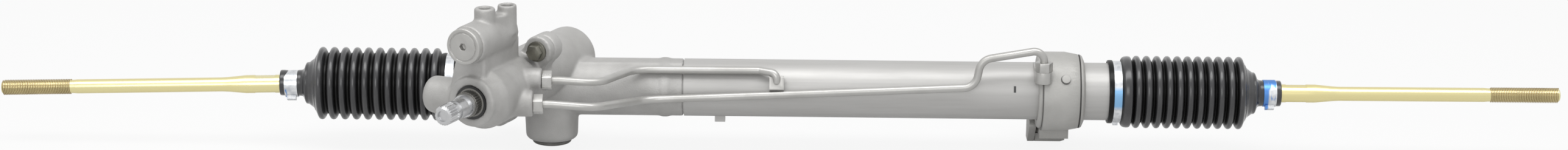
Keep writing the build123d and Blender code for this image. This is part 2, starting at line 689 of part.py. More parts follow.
def lock_washer(side):
    back = SOCKET_FACE - BALL_CENTRE
    return to_ball(side, ring_x(LOCK_R, STUD_R, back, back + LOCK_T))


def ball_seat(side):
    shell = Sphere(BALL_R + RUN + SEAT_WALL) - Sphere(BALL_R + RUN)
    middle = (SEAT_BACK + SEAT_LIP) / 2
    slab = Pos(middle, 0, 0) * Box(SEAT_LIP - SEAT_BACK, 4 * BALL_R, 4 * BALL_R)
    return to_ball(side, shell & slab)


def tie_rod(side):
    ball_edge = math.sqrt(BALL_R**2 - ROD_NECK_R**2)
    rod = Sphere(BALL_R)
    rod += cyl_x(ROD_NECK_R, ball_edge - 1, ROD_SEAT_X)
    rod += turn_x(
        [
            (ROD_SEAT_X - 3, 0),
            (ROD_SEAT_X - 3, ROD_NECK_R),
            (ROD_SEAT_X, ROD_THICK_R),
            (ROD_THICK_END, ROD_THICK_R),
            (ROD_TAPER_END, ROD_R),
            (THREAD_START, ROD_R),
            (THREAD_START + 1, THREAD_R),
            (ROD_END - 1.5, THREAD_R),
            (ROD_END, THREAD_R - 1.5),
            (ROD_END, 0),
        ]
    )
    flat_mid = (FLATS_X[0] + FLATS_X[1]) / 2
    jaws = Pos(flat_mid, 0, 0) * Box(FLATS_X[1] - FLATS_X[0], 4 * ROD_THICK_R, 4 * ROD_THICK_R)
    jaws -= Pos(flat_mid, 0, 0) * Box(THROUGH, 5 * ROD_THICK_R, FLATS_AF)
    return to_rod(side, rod - jaws)


def bellows(side):
    """One boot: big end on the tube, small end in its groove on the tie rod."""
    first = TUBE_END + side * FOLD_SHIFT
    last = BALL_CENTRE + LAST_FOLD + side * RACK_REST
    neck = NECK_START + side * RACK_REST
    pitch = (last - first) / (PEAK_COUNT - 1)
    outer = [
        (BOOT_START, TUBE_R),
        (BOOT_START, BOOT_LIP_R),
        (BIG_CLAMP[0], BOOT_LIP_R),
        (BIG_CLAMP[0], BOOT_GROOVE_R),
        (BIG_CLAMP[1], BOOT_GROOVE_R),
        (BIG_CLAMP[1] + 1, BOOT_SHOULDER_R - 1.5),
        (BIG_CLAMP[1] + 3, BOOT_SHOULDER_R),
        (first + PEAK_FLAT, BOOT_SHOULDER_R),
    ]
    for k in range(1, PEAK_COUNT):
        peak = first + k * pitch
        outer.append((peak - pitch / 2, VALLEY_R))
        outer.append((peak - PEAK_FLAT, PEAK_R))
        outer.append((peak + PEAK_FLAT, PEAK_R))
    cone = neck - last
    outer += [
        (last + cone * 0.30, VALLEY_R - 1),
        (last + cone * 0.55, SHOULDER_R + 1.5),
        (last + cone * 0.72, SHOULDER_R),
        (last + cone * 0.80, SHOULDER_R),
        (neck, NECK_R),
        (neck + 2, NECK_R),
    ]
    inner = [
        (neck + 2, ROD_THICK_R + SOFT + NECK_PLAY),
        (neck - 1, ROD_THICK_R + SOFT + NECK_PLAY),
        (last + cone * 0.35, VALLEY_R - BOOT_WALL - 1),
        (TUBE_END + 2, VALLEY_R - BOOT_WALL),
        (TUBE_END + SOFT, TUBE_R),
    ]
    turn = Rot(0, 0, 0 if side > 0 else 180)
    body = turn * turn_x(outer + inner)
    neck_in = NECK_START + 1 - BALL_CENTRE
    groove = (SMALL_CLAMP[0] - BALL_CENTRE, SMALL_CLAMP[1] - BALL_CENTRE)
    end = BOOT_END - BALL_CENTRE
    neck_profile = [
        (neck_in, ROD_THICK_R + SOFT),
        (neck_in, NECK_R + 0.6),
        (groove[0], NECK_R + 0.6),
        (groove[0], NECK_R),
        (groove[1], NECK_R),
        (groove[1], SMALL_LIP_R),
        (end, SMALL_LIP_R),
        (end, ROD_THICK_R + SOFT),
    ]
    return body + to_rod(side, turn_x(neck_profile))


def big_clamp(side):
    inner = BOOT_GROOVE_R + RUN
    band = ring_x(inner + CLAMP_T, inner, *BIG_CLAMP)
    x = sum(BIG_CLAMP) / 2
    half = (BIG_CLAMP[1] - BIG_CLAMP[0]) / 2 - 1.5
    crimp = Pos(x, 0, -inner - CLAMP_T - 1.2) * Box(2 * half, 7, 3.2)
    crimp -= cyl_x(inner, *BIG_CLAMP)
    return Rot(0, 0, 0 if side > 0 else 180) * (band + crimp)


def small_clamp(side):
    inner = NECK_R + SOFT
    span = [x - BALL_CENTRE for x in SMALL_CLAMP]
    band = ring_x(inner + CLAMP_T, inner, *span)
    lug = Rot(CLAMP_LUG_ANGLE, 0, 0) * Pos(sum(span) / 2, 0, -inner - 1.5) * Box(8, 6, 4)
    lug -= cyl_x(inner, *span)
    if side < 0:
        lug = mirror(lug, Plane.XZ)
    return to_rod(side, band + lug)


# ------------------------------------------------------------------------- mounts
def end_collar():
    x0, x1 = COLLAR_X
    return turn_x(
        [
            (x0, TUBE_R),
            (x0, COLLAR_LIP_R - 1.5),
            (x0 + 1.5, COLLAR_LIP_R),
            (BAND_X[0], COLLAR_LIP_R),
            (BAND_X[0], COLLAR_R),
            (BAND_X[1], COLLAR_R),
            (BAND_X[1], COLLAR_LIP_R),
            (x1 - 2, COLLAR_LIP_R - 1),
            (x1, TUBE_R + 2),
            (x1, TUBE_R),
        ]
    )


def mount_bracket():
    x, z0, z1 = RIGHT_MOUNT
    band = turn_x(
        [
            (BAND_X[0], COLLAR_R),
            (BAND_X[0], BAND_R),
            (BAND_X[0] + BAND_FLAT, BAND_R),
            (BAND_X[1] - 1, COLLAR_LIP_R),
            (BAND_X[1], COLLAR_R),
        ]
    )
    web_len = x + BOSS_R - BAND_X[0]
    web = Pos((BAND_X[0] + x + BOSS_R) / 2, MOUNT_Y / 2, (z0 + z1) / 2 + 4)
    web *= Box(web_len, MOUNT_Y, z1 - z0 - 16)
    foot = Pos(x, MOUNT_Y, z0 + FOOT_T / 2) * Box(2 * BOSS_R, 2 * BOSS_R, FOOT_T)
    foot = chamfer(foot.edges().filter_by(Axis.Z), 3 * BOSS_CHAMFER)
    low = MOUNT_Y - BOSS_R
    side = Polyline((COLLAR_R - 6, -8), (8, -BAND_R), (low, z0), (MOUNT_Y, z0), (MOUNT_Y, -8), close=True)
    rib = Pos(RIB_X, 0, 0) * extrude(Plane.YZ * make_face(side), RIB_T)
    body = band + mount_boss(x, z0, z1) + web + foot + rib
    body += radial(DIMPLE_X, DIMPLE_ANGLE, BAND_R) * cyl_z(DIMPLE_R, -4, DIMPLE_RISE)
    body -= cyl_x(COLLAR_LIP_R + SOFT, BAND_X[0] - THROUGH, BAND_X[0])
    body -= cyl_x(COLLAR_R, BAND_X[0] - 1, BAND_X[1] + 1)
    return body - cyl_z(BUSH_R, z0 - 1, z1 + 1, x, MOUNT_Y)


def mount_bush(mount):
    x, z0, z1 = mount
    return ring_z(BUSH_R, MOUNT_SLEEVE_R, z0 + 1, z1 - 1, x, MOUNT_Y)


def mount_sleeve(mount):
    x, z0, z1 = mount
    return ring_z(MOUNT_SLEEVE_R, SLEEVE_BORE_R, z0 - 0.5, z1 + 0.5, x, MOUNT_Y)


# ------------------------------------------------------------------ pressure tubes
def pipe(points, radii):
    path = FilletPolyline(*points, radius=radii)
    section = Plane(origin=path @ 0, z_dir=path % 0) * Circle(PIPE_R)
    return sweep(section, path=path)


def fitting_nut(x, y, z):
    nut = along_x(hexagon(NUT_AF, NUT_LEN))
    nut += along_x(cyl_z(NUT_THREAD_R, -NUT_THREAD + 1, 0))
    return Pos(x, y, z) * (nut - cyl_x(PIPE_R, -NUT_THREAD, NUT_LEN + 1))


def tube_unions():
    """The blocks brazed to the cylinder, where the pressure tubes enter it."""
    left = radial(UNION_LEFT_X, UNION_ANGLE, UNION_CENTRE_R) * Box(*UNION_SIZE)
    left = fillet(left.edges().filter_by(Axis.X), 1.5)
    left -= cyl_x(TUBE_R, UNION_LEFT_X - THROUGH, UNION_LEFT_X + THROUGH)
    left -= pipe(PIPE_LEFT, PIPE_LEFT_BENDS)
    x, z = UNION_RIGHT
    y = FRONT_LINE
    bottom = z - UNION_RIGHT_LEN
    right = cyl_z(UNION_RIGHT_R, bottom, z, x, y)
    right += Pos(x, y / 2, (z + bottom) / 2) * Box(2 * UNION_RIGHT_R, -y, UNION_RIGHT_LEN)
    right -= cyl_x(TUBE_R, x - THROUGH, COLLAR_X[0])
    right -= cyl_x(COLLAR_LIP_R, COLLAR_X[0], BAND_X[0])
    right -= cyl_x(BAND_R, BAND_X[0], x + THROUGH)
    right -= cyl_z(PIPE_R, PIPE_RIGHT[-1].Z, z + 1, x, y)
    return [left, right]


# -------------------------------------------------------------------- cylinder inside
def rack_ring(outer, x0, x1):
    return ring_x(outer, RACK_R + RUN, x0, x1)


def piston():
    mid = RACK_REST + PISTON_X
    body = ring_x(CYL_R - RUN, RACK_R, mid - PISTON_LEN / 2, mid + PISTON_LEN / 2)
    groove = ring_x(CYL_R, CYL_R - RUN - RING_DEPTH, mid - RING_LEN / 2, mid + RING_LEN / 2)
    return body - groove


def piston_ring():
    mid = RACK_REST + PISTON_X
    return ring_x(CYL_R - 0.02, CYL_R - RUN - RING_DEPTH, mid - RING_LEN / 2, mid + RING_LEN / 2)


# -------------------------------------------------------------------------- output
save("rack_housing", rack_housing())
save("cylinder_tube", cylinder_tube())
save("valve_housing", valve_housing())
save("flange_bolts", *flange_bolts())

save("rack_bar", rack_bar())
save("piston", piston())
save("piston_ring", piston_ring())
save("pinion_gear", pinion_gear())
save("pinion_cap", tower(cyl_z(CAP_R, TOWER_BACK, BEARING_LOW_S[0])))
save("lower_bearing", bearing(BEARING_LOW_R, JOURNAL_R, BEARING_LOW_S))
save("upper_bearing", bearing(BEARING_UP_R, JOURNAL_R, BEARING_UP_S))

save("valve_sleeve", valve_sleeve())
save("input_shaft", input_shaft())
save("torsion_bar", tower(cyl_z(TORSION_R, BEARING_UP_S[0], TORSION_END)))
save("shaft_bearing", bearing(NEEDLE_R, SHAFT_R + RUN, NEEDLE_S))
save("input_seal", tower(ring_z(SEAL_R, SHAFT_R + SOFT, *SEAL_S)))
save("control_spool", control_spool())
save("valve_plug", valve_plug())
spool_spring = coil_spring(SPRING_COIL_R, SPRING_WIRE, SPOOL_SPRING_LEN, 5)
save("spool_spring", tower(Pos(0, SPOOL_W, SPOOL_BORE_S + 1) * spool_spring))

save("rack_guide", rack_guide())
save("guide_plug", guide_plug())
guide_spring = coil_spring(GUIDE_SPRING_R, 2 * SPRING_WIRE, GUIDE_SPRING_LEN - 4, 3.5)
save("guide_spring", Pos(MESH_X, 0, GUIDE_SPRING_Z + 2) * guide_spring)

save("cylinder_seal", rack_ring(CYL_R, CYL_LEFT - SEAL_LEN, CYL_LEFT))
save("end_seal", rack_ring(CYL_R, CYL_RIGHT, CYL_RIGHT + SEAL_LEN * 0.7))
save("end_bushing", rack_ring(CYL_R, CYL_RIGHT + SEAL_LEN * 0.7, CYL_RIGHT + 3 * SEAL_LEN))

for side, word in ((-1, "left"), (1, "right")):
    save(f"{word}_socket", socket_joint(side))
    save(f"{word}_lock_washer", lock_washer(side))
    save(f"{word}_ball_seat", ball_seat(side))
    save(f"{word}_tie_rod", tie_rod(side))
    save(f"{word}_boot", bellows(side))
    save(f"{word}_big_clamp", big_clamp(side))
    save(f"{word}_small_clamp", small_clamp(side))

save("end_collar", end_collar())
save("mount_bracket", mount_bracket())
for mount, word in ((LEFT_MOUNT, "left"), (RIGHT_MOUNT, "right")):
    save(f"{word}_mount_bush", mount_bush(mount))
    save(f"{word}_mount_sleeve", mount_sleeve(mount))

save("left_pressure_tube", pipe(PIPE_LEFT, PIPE_LEFT_BENDS))
save("right_pressure_tube", pipe(PIPE_RIGHT, PIPE_RIGHT_BENDS))
nuts = [fitting_nut(*fitting[:3]) for fitting in FITTINGS]
right_nut = Pos(UNION_RIGHT[0], FRONT_LINE, UNION_RIGHT[1]) * hexagon(RIGHT_NUT_AF, NUT_LEN)
right_nut -= cyl_z(PIPE_R, 0, THROUGH, UNION_RIGHT[0], FRONT_LINE)
save("tube_nuts", *nuts, right_nut)
save("tube_unions", *tube_unions())
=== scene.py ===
# %% [markdown]
# # A hydraulic steering rack
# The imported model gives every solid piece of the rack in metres: +X along the rack, +Y towards
# the mounting ears, +Z up. This lesson dresses it: rubber bellows, threaded rods, cast skins,
# rounded machined edges, metals, a camera and soft light.

# %% Load the frame
import bpy
import bmesh
import math
from mathutils import Matrix, Vector


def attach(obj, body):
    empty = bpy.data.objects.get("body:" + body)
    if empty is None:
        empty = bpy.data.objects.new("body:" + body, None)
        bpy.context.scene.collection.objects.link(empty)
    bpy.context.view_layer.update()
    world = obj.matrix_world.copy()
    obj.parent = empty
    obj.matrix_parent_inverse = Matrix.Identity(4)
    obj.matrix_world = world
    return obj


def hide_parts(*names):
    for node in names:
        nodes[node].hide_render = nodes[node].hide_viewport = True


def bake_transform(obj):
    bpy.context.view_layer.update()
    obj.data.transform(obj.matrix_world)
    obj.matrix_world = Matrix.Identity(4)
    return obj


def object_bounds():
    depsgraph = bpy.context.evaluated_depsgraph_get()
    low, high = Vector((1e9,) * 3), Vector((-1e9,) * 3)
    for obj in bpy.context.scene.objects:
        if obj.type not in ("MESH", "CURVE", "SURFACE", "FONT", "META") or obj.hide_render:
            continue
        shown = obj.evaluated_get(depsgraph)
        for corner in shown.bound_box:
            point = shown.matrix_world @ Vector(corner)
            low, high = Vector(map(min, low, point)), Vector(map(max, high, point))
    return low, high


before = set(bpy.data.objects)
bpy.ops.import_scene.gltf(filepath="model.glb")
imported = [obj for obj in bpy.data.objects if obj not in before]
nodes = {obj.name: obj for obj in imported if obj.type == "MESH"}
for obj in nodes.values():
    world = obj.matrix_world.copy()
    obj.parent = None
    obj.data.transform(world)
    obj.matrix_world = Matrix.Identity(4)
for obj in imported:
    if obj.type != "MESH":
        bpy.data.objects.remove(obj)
cad_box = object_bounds()
print("solids:", len(nodes), "box:", [tuple(round(v, 4) for v in corner) for corner in cad_box])

# %% [markdown]
# ## Two frames and a tilt
# Sizes are easier to read in millimetres from the middle of the tube, so `row` turns such a
# point into the model's metres. The pinion tower is tilted 24.5 degrees, and AXIS points along
# the pinion's axis. Each tie rod is drawn outwards along X from its ball, and `outward` puts it
# at its own end of the rack with its slight droop.

# %% Places
MM = 0.001
TILT = math.radians(24.5)
AXIS = Vector((-math.sin(TILT), -math.cos(TILT), 0))
PINION = Vector((-210, 0, 21))
TUBE_MIDDLE = Vector((256, -48, 10))
RACK_REST = -3.0
BALL_AT = 411.0
SIGN = {"left": -1, "right": 1}
DROOP = {"left": math.radians(1.45), "right": math.radians(-0.2)}


def row(point):
    return (Vector(point) + TUBE_MIDDLE) * MM


def ball(side):
    return Vector((RACK_REST + SIGN[side] * BALL_AT, 0, 0))


def facing(side):
    """Turns a shape drawn along +X towards its own end of the rack."""
    return Matrix.Identity(4) if side == "right" else Matrix.Rotation(math.pi, 4, "Z")


def outward(side):
    """The matrix that takes a shape drawn outwards along X from a ball's centre to its place."""
    lean = Matrix.Rotation(DROOP[side], 4, "Y")
    return Matrix.Translation(row(ball(side))) @ facing(side) @ lean @ Matrix.Scale(MM, 4)


print("left ball centre", tuple(round(v, 4) for v in row(ball("left"))))

# %% [markdown]
# ## From bmesh to a piece
# Each new shape starts as a bmesh. `piece` writes it to an object at the origin, smooths its
# shading except over sharp edges, and gives it its material.

# %% Make a piece
SHARP = math.radians(38)


def smooth_all(mesh):
    for polygon in mesh.polygons:
        polygon.use_smooth = True


def piece(name, bm, material, sharp=SHARP):
    mesh = bpy.data.meshes.new(name)
    bm.to_mesh(mesh)
    bm.free()
    smooth_all(mesh)
    mesh.set_sharp_from_angle(angle=sharp)
    mesh.materials.append(material)
    made = bpy.data.objects.new(name, mesh)
    bpy.context.scene.collection.objects.link(made)
    print(name, len(mesh.polygons), "faces")
    return made


print("edges over", round(math.degrees(SHARP)), "degrees stay sharp")

# %% [markdown]
# ## Turned shapes
# The rods and bellows are round about their own line. The Screw modifier could turn a profile
# too; `lathe` spins it with a mesh operator instead, which leaves a plain mesh that is ready to
# be pressed, moved or bent.

# %% Turn a profile
SAME_POINT = 1e-4


def lathe(profile, steps, closed=True):
    """Spins (x, radius) points about X."""
    bm = bmesh.new()
    verts = [bm.verts.new((x, 0, radius)) for x, radius in profile]
    pairs = list(zip(verts, verts[1:]))
    if closed:
        pairs.append((verts[-1], verts[0]))
    edges = [bm.edges.new(pair) for pair in pairs]
    bmesh.ops.spin(
        bm,
        geom=verts + edges,
        cent=(0, 0, 0),
        axis=(1, 0, 0),
        dvec=(0, 0, 0),
        angle=2 * math.pi,
        steps=steps,
        use_merge=True,
        use_duplicate=False,
    )
    bmesh.ops.remove_doubles(bm, verts=bm.verts, dist=SAME_POINT)
    bmesh.ops.recalc_face_normals(bm, faces=bm.faces)
    return bm


print("lathe joins points within", SAME_POINT, "mm")

# %% [markdown]
# ## Nodes in plain words
# A material is a tree of nodes, which is long to write by hand. Each helper here adds one node,
# sets what is a number and links what is a socket. `new_group` starts a node group with named
# inputs and outputs, and `placed` puts it in a material with that material's own values, so an
# effect that several finishes share is built once.

# %% Node helpers
NOISE_ROUGHNESS = 0.55


def link(tree, a, b):
    tree.links.new(a, b)


def give(tree, socket, value):
    """Links a socket to an input, or sets the input to a plain value."""
    if isinstance(value, bpy.types.NodeSocket):
        link(tree, value, socket)
    else:
        socket.default_value = value


def noise(tree, vector, scale, detail):
    made = tree.nodes.new("ShaderNodeTexNoise")
    made.inputs["Detail"].default_value = detail
    made.inputs["Roughness"].default_value = NOISE_ROUGHNESS
    link(tree, vector, made.inputs["Vector"])
    give(tree, made.inputs["Scale"], scale)
    return made.outputs["Fac"]


def remap(tree, value, low, high, to_low=0.0, to_high=1.0):
    made = tree.nodes.new("ShaderNodeMapRange")
    link(tree, value, made.inputs["Value"])
    limits = {"From Min": low, "From Max": high, "To Min": to_low, "To Max": to_high}
    for word, given in limits.items():
        give(tree, made.inputs[word], given)
    return made.outputs["Result"]


def maths(tree, work, a, b=0.0):
    made = tree.nodes.new("ShaderNodeMath")
    made.operation = work
    give(tree, made.inputs[0], a)
    give(tree, made.inputs[1], b)
    return made.outputs[0]


def times(tree, first, *others):
    for other in others:
        first = maths(tree, "MULTIPLY", first, other)
    return first


def mixed(tree, factor, a, b):
    made = tree.nodes.new("ShaderNodeMix")
    made.data_type = "RGBA"
    link(tree, factor, made.inputs["Factor"])
    for socket, colour in zip([s for s in made.inputs if s.type == "RGBA"], (a, b)):
        give(tree, socket, colour)
    return [s for s in made.outputs if s.type == "RGBA"][0]


def new_group(name, inputs, outputs):
    tree = bpy.data.node_groups.new(name, "ShaderNodeTree")
    for way, sockets in (("INPUT", inputs), ("OUTPUT", outputs)):
        for word, kind in sockets.items():
            tree.interface.new_socket(word, in_out=way, socket_type="NodeSocket" + kind)
    source = tree.nodes.new("NodeGroupInput")
    sink = tree.nodes.new("NodeGroupOutput")
    return tree, source.outputs, sink.inputs


def placed(tree, group, values):
    made = tree.nodes.new("ShaderNodeGroup")
    made.node_tree = group
    for word, value in values.items():
        give(tree, made.inputs[word], value)
    return made.outputs


print("noise roughness", NOISE_ROUGHNESS)

# %% [markdown]
# ## A shared metal skin
# Cast, drawn and plated metal all show the same two things at different scales: slow stains in
# the colour and a fine grain. Painted images could carry them, but would need a UV map on every
# piece. One node group makes both from noise instead, and every metal places it with its own
# colours. It reads Object coordinates, so the pattern stays on the piece.

# %% The skin group
LOOK = {"Color": "Color", "Roughness": "Float", "Height": "Float"}
skin, skin_in, skin_out = new_group(
    "Metal skin",
    {
        "Vector": "Vector",
        "Base": "Color",
        "Stain": "Color",
        "Stain Scale": "Float",
        "Stain Amount": "Float",
        "Grain Scale": "Float",
        "Smooth": "Float",
        "Dull": "Float",
    },
    LOOK,
)
stain = remap(skin, noise(skin, skin_in["Vector"], skin_in["Stain Scale"], 5.0), 0.38, 0.68)
share = times(skin, stain, skin_in["Stain Amount"])
link(skin, mixed(skin, share, skin_in["Base"], skin_in["Stain"]), skin_out["Color"])
rough = remap(skin, stain, 0.0, 1.0, skin_in["Smooth"], skin_in["Dull"])
link(skin, rough, skin_out["Roughness"])
link(skin, noise(skin, skin_in["Vector"], skin_in["Grain Scale"], 3.0), skin_out["Height"])
print("group", skin.name, "with", len(skin.nodes), "nodes")

# %% [markdown]
# ## The metals
# `metal` places the skin in a material. The numbers that differ are the two colours, the stain's
# size and share, the grain's size and depth, and how smooth the metal is. A casting could be a
# full metal too, but its rough skin scatters light like pale stone, so it is only partly
# metallic here, while ground and plated steel are fully so.

# %% Place the skin in a material
def start(name):
    made = bpy.data.materials.new(name)
    made.use_nodes = True
    tree = made.node_tree
    shader = tree.nodes["Principled BSDF"]
    place = tree.nodes.new("ShaderNodeTexCoord").outputs["Object"]
    return made, tree, shader, place


def stretched(tree, vector, scale):
    made = tree.nodes.new("ShaderNodeMapping")
    made.inputs["Scale"].default_value = scale
    link(tree, vector, made.inputs["Vector"])
    return made.outputs["Vector"]


def bump(tree, shader, height, strength, distance):
    made = tree.nodes.new("ShaderNodeBump")
    made.inputs["Strength"].default_value = strength
    made.inputs["Distance"].default_value = distance
    link(tree, height, made.inputs["Height"])
    link(tree, made.outputs["Normal"], shader.inputs["Normal"])


def show(tree, look, shader):
    link(tree, look["Color"], shader.inputs["Base Color"])
    link(tree, look["Roughness"], shader.inputs["Roughness"])


def metal(name, base, stain, size, share, grain, depth, smooth, dull, metallic=1.0, drawn=None):
    made, tree, shader, place = start(name)
    shader.inputs["Metallic"].default_value = metallic
    if drawn:
        place = stretched(tree, place, drawn)
    values = {
        "Vector": place,
        "Base": (*base, 1),
        "Stain": (*stain, 1),
        "Stain Scale": size,
        "Stain Amount": share,
        "Grain Scale": grain,
        "Smooth": smooth,
        "Dull": dull,
    }
    look = placed(tree, skin, values)
    show(tree, look, shader)
    bump(tree, shader, look["Height"], 1.0, depth)
    return made


# %% Mix the cast and drawn metals
ALONG_RACK = (1.0, 14.0, 14.0)
cast_housing = metal(
    "Cast housing", (0.42, 0.415, 0.405), (0.31, 0.305, 0.295),
    26.0, 0.55, 900.0, 0.00022, 0.5, 0.66, 0.4,
)
cast_valve = metal(
    "Cast valve body", (0.42, 0.415, 0.405), (0.29, 0.285, 0.275),
    34.0, 0.6, 900.0, 0.00022, 0.48, 0.64, 0.4,
)
cast_mount = metal(
    "Cast mount", (0.40, 0.395, 0.38), (0.31, 0.305, 0.29),
    30.0, 0.5, 800.0, 0.0002, 0.5, 0.66, 0.35,
)
drawn_tube = metal(
    "Drawn tube", (0.44, 0.435, 0.425), (0.36, 0.355, 0.345),
    8.0, 0.5, 500.0, 0.00003, 0.46, 0.56, 0.45, ALONG_RACK,
)
pipe_metal = metal(
    "Tube and union", (0.44, 0.435, 0.42), (0.33, 0.325, 0.31),
    30.0, 0.5, 500.0, 0.00003, 0.34, 0.48, 0.6,
)
print("cast and drawn:", cast_housing.name, cast_valve.name, cast_mount.name, drawn_tube.name)

# %% Mix the steels and the bronze
TURNED = ((0.60, 0.605, 0.61), (0.42, 0.42, 0.43), 60.0, 0.5, 700.0, 0.00004, 0.22, 0.38)
bright_metal = metal("Bright steel", *TURNED)
shaft_metal = metal("Shaft steel", *TURNED)
ground_metal = metal(
    "Ground steel", (0.66, 0.67, 0.69), (0.54, 0.55, 0.57),
    30.0, 0.4, 900.0, 0.00001, 0.16, 0.24, drawn=ALONG_RACK,
)
plain_metal = metal(
    "Plain steel", (0.36, 0.36, 0.36), (0.24, 0.235, 0.23), 45.0, 0.6, 700.0, 0.00006, 0.36, 0.52
)
plug_metal = metal(
    "Plug steel", (0.17, 0.167, 0.16), (0.11, 0.107, 0.10), 60.0, 0.6, 800.0, 0.00008, 0.4, 0.55
)
nut_metal = metal(
    "Nut steel", (0.50, 0.495, 0.48), (0.34, 0.335, 0.32),
    60.0, 0.6, 700.0, 0.00004, 0.26, 0.42, 0.9,
)
bolt_metal = metal(
    "Olive bolt", (0.22, 0.215, 0.185), (0.12, 0.115, 0.09), 80.0, 0.7, 900.0, 0.00005, 0.3, 0.46
)
spring_metal = metal(
    "Spring steel", (0.30, 0.31, 0.33), (0.20, 0.20, 0.21), 60.0, 0.5, 700.0, 0.00003, 0.28, 0.4
)
bronze = metal(
    "Bronze", (0.56, 0.42, 0.20), (0.40, 0.29, 0.14), 50.0, 0.5, 700.0, 0.00003, 0.3, 0.45
)
print("metals so far:", [m.name for m in bpy.data.materials if m.use_nodes])

# %% [markdown]
# ## Yellow zinc
# The tie rods are zinc plated and passivated, which leaves a pale straw film with gold streaks
# drawn out along the rod. The film could be a coat over grey steel, but as the metal's own
# colour it keeps its hue at every angle. The rolled thread holds less light between its turns
# and its film is browner.

# %% The plated rods
ALONG_ROD = (1.0, 10.0, 10.0)
zinc = metal(
    "Yellow zinc", (0.80, 0.73, 0.40), (0.76, 0.62, 0.27),
    4.0, 0.4, 600.0, 0.00001, 0.26, 0.36, drawn=ALONG_ROD,
)
thread_zinc = metal(
    "Thread zinc", (0.44, 0.35, 0.19), (0.30, 0.22, 0.11), 70.0, 0.6, 900.0, 0.00003, 0.28, 0.42
)
print("rods:", zinc.name, "and", thread_zinc.name)

# %% [markdown]
# ## Marks set by place
# Some details are colour only: the input shaft is dark where its serrated collar stands in the
# seal, the cylinder's one small stamped slot is a dark patch of painted shade, and painted shade
# stands for the shadow in the two seams of the mounting band, round the low side of its dimple
# and at the foot of the yoke boss. They could be painted on an image. Instead one group
# measures the Object coordinate along a direction and is one inside a short length of it, and a
# second gives the distance from a line, so a mark has its real size.

# %% The length group
length_mask, mask_in, mask_out = new_group(
    "Length mask",
    {
        "Vector": "Vector",
        "Direction": "Vector",
        "Low": "Float",
        "High": "Float",
        "Soft": "Float",
    },
    {"Mask": "Float"},
)


def distance(tree, place, direction):
    dot = tree.nodes.new("ShaderNodeVectorMath")
    dot.operation = "DOT_PRODUCT"
    link(tree, place, dot.inputs[0])
    give(tree, dot.inputs[1], direction)
    return dot.outputs["Value"]


along = distance(length_mask, mask_in["Vector"], mask_in["Direction"])
before = maths(length_mask, "SUBTRACT", mask_in["Low"], mask_in["Soft"])
after = maths(length_mask, "ADD", mask_in["High"], mask_in["Soft"])
rise = remap(length_mask, along, before, mask_in["Low"])
fall = remap(length_mask, along, mask_in["High"], after, 1.0, 0.0)
link(length_mask, times(length_mask, rise, fall), mask_out["Mask"])
print("group", length_mask.name, "with", len(length_mask.nodes), "nodes")

# %% The line group
line_gauge, gauge_in, gauge_out = new_group(
    "Line gauge",
    {"Vector": "Vector", "Centre": "Vector", "Axis": "Vector"},
    {"Distance": "Float"},
)
value = gauge_in["Vector"]
for work, word in (("SUBTRACT", "Centre"), ("CROSS_PRODUCT", "Axis"), ("LENGTH", None)):
    step = line_gauge.nodes.new("ShaderNodeVectorMath")
    step.operation = work
    link(line_gauge, value, step.inputs[0])
    if word:
        link(line_gauge, gauge_in[word], step.inputs[1])
    value = step.outputs["Vector" if word else "Value"]
link(line_gauge, value, gauge_out["Distance"])
print("group", line_gauge.name, "with", len(line_gauge.nodes), "nodes")


# %% Darken the shaft's collar
def between(tree, place, direction, low, high, soft):
    """One between two distances along a direction, fading over `soft` metres at each end."""
    values = {"Vector": place, "Direction": direction, "Low": low, "High": high, "Soft": soft}
    return placed(tree, length_mask, values)["Mask"]


def off_axis(tree, place, centre=(0, 0, 0), axis=(1, 0, 0)):
    """Distance from the line through a point of the rack, along an axis."""
    values = {"Vector": place, "Centre": row(centre), "Axis": axis}
    return placed(tree, line_gauge, values)["Distance"]


def parts_of(material):
    tree = material.node_tree
    place = [n for n in tree.nodes if n.bl_idname == "ShaderNodeTexCoord"][0].outputs["Object"]
    return tree, tree.nodes["Principled BSDF"], place


def cover(material, share, colour):
    """Puts a colour over a material's own where the share is one."""
    tree, shader, _ = parts_of(material)
    under = shader.inputs["Base Color"].links[0].from_socket
    link(tree, mixed(tree, share, under, (*colour, 1)), shader.inputs["Base Color"])


COLLAR = (0.140, 0.1532)
DARK_STEEL = (0.22, 0.215, 0.20)
tree, _, place = parts_of(shaft_metal)
foot = row(PINION).dot(AXIS)
low, high = (foot + far for far in COLLAR)
cover(shaft_metal, between(tree, place, AXIS, low, high, 0.0004), DARK_STEEL)
print("dark collar", round((high - low) / MM, 1), "mm long")

# %% Paint the shade of the tube's slot
SLOT = row((207.2, 0, 8.0))
SLOT_HALF_WIDE, SLOT_HALF_TALL = 0.0009, 0.0026
SLOT_SHADE = (0.06, 0.06, 0.06)
FRONT = (0.05, 0.2)
tree, _, place = parts_of(drawn_tube)
x0, x1 = SLOT.x - SLOT_HALF_WIDE, SLOT.x + SLOT_HALF_WIDE
z0, z1 = SLOT.z - SLOT_HALF_TALL, SLOT.z + SLOT_HALF_TALL
wide = between(tree, place, (1, 0, 0), x0, x1, 0.0003)
tall = between(tree, place, (0, 0, 1), z0, z1, 0.0004)
front = between(tree, place, (0, -1, 0), *FRONT, 0.001)
# Painted shade: the slot is not cut into the tube; a dark patch stands for the shade inside it.
cover(drawn_tube, times(tree, wide, tall, front), SLOT_SHADE)
print("slot at", tuple(round(v, 4) for v in SLOT))

# %% Paint shade into the seams of the mounting band
PAINTED_SHADE = (0.05, 0.05, 0.048)
BAND_SEAMS = ((232.2, 232.9, 0.55), (265.4, 266.6, 0.9))
BAND_INSIDE, BAND_OUTSIDE = 0.0362, 0.0368
tree, _, place = parts_of(cast_mount)
near = remap(tree, off_axis(tree, place), BAND_INSIDE, BAND_OUTSIDE, 1.0, 0.0)
# Painted shade: a dark colour stands for the shadow in the two grooves of the band.
for *ends, dark in BAND_SEAMS:
    low, high = (row((x, 0, 0)).x for x in ends)
    seam = between(tree, place, (1, 0, 0), low, high, 0.0002)
    cover(cast_mount, times(tree, seam, dark, near), PAINTED_SHADE)
print("painted shade in", len(BAND_SEAMS), "seams")
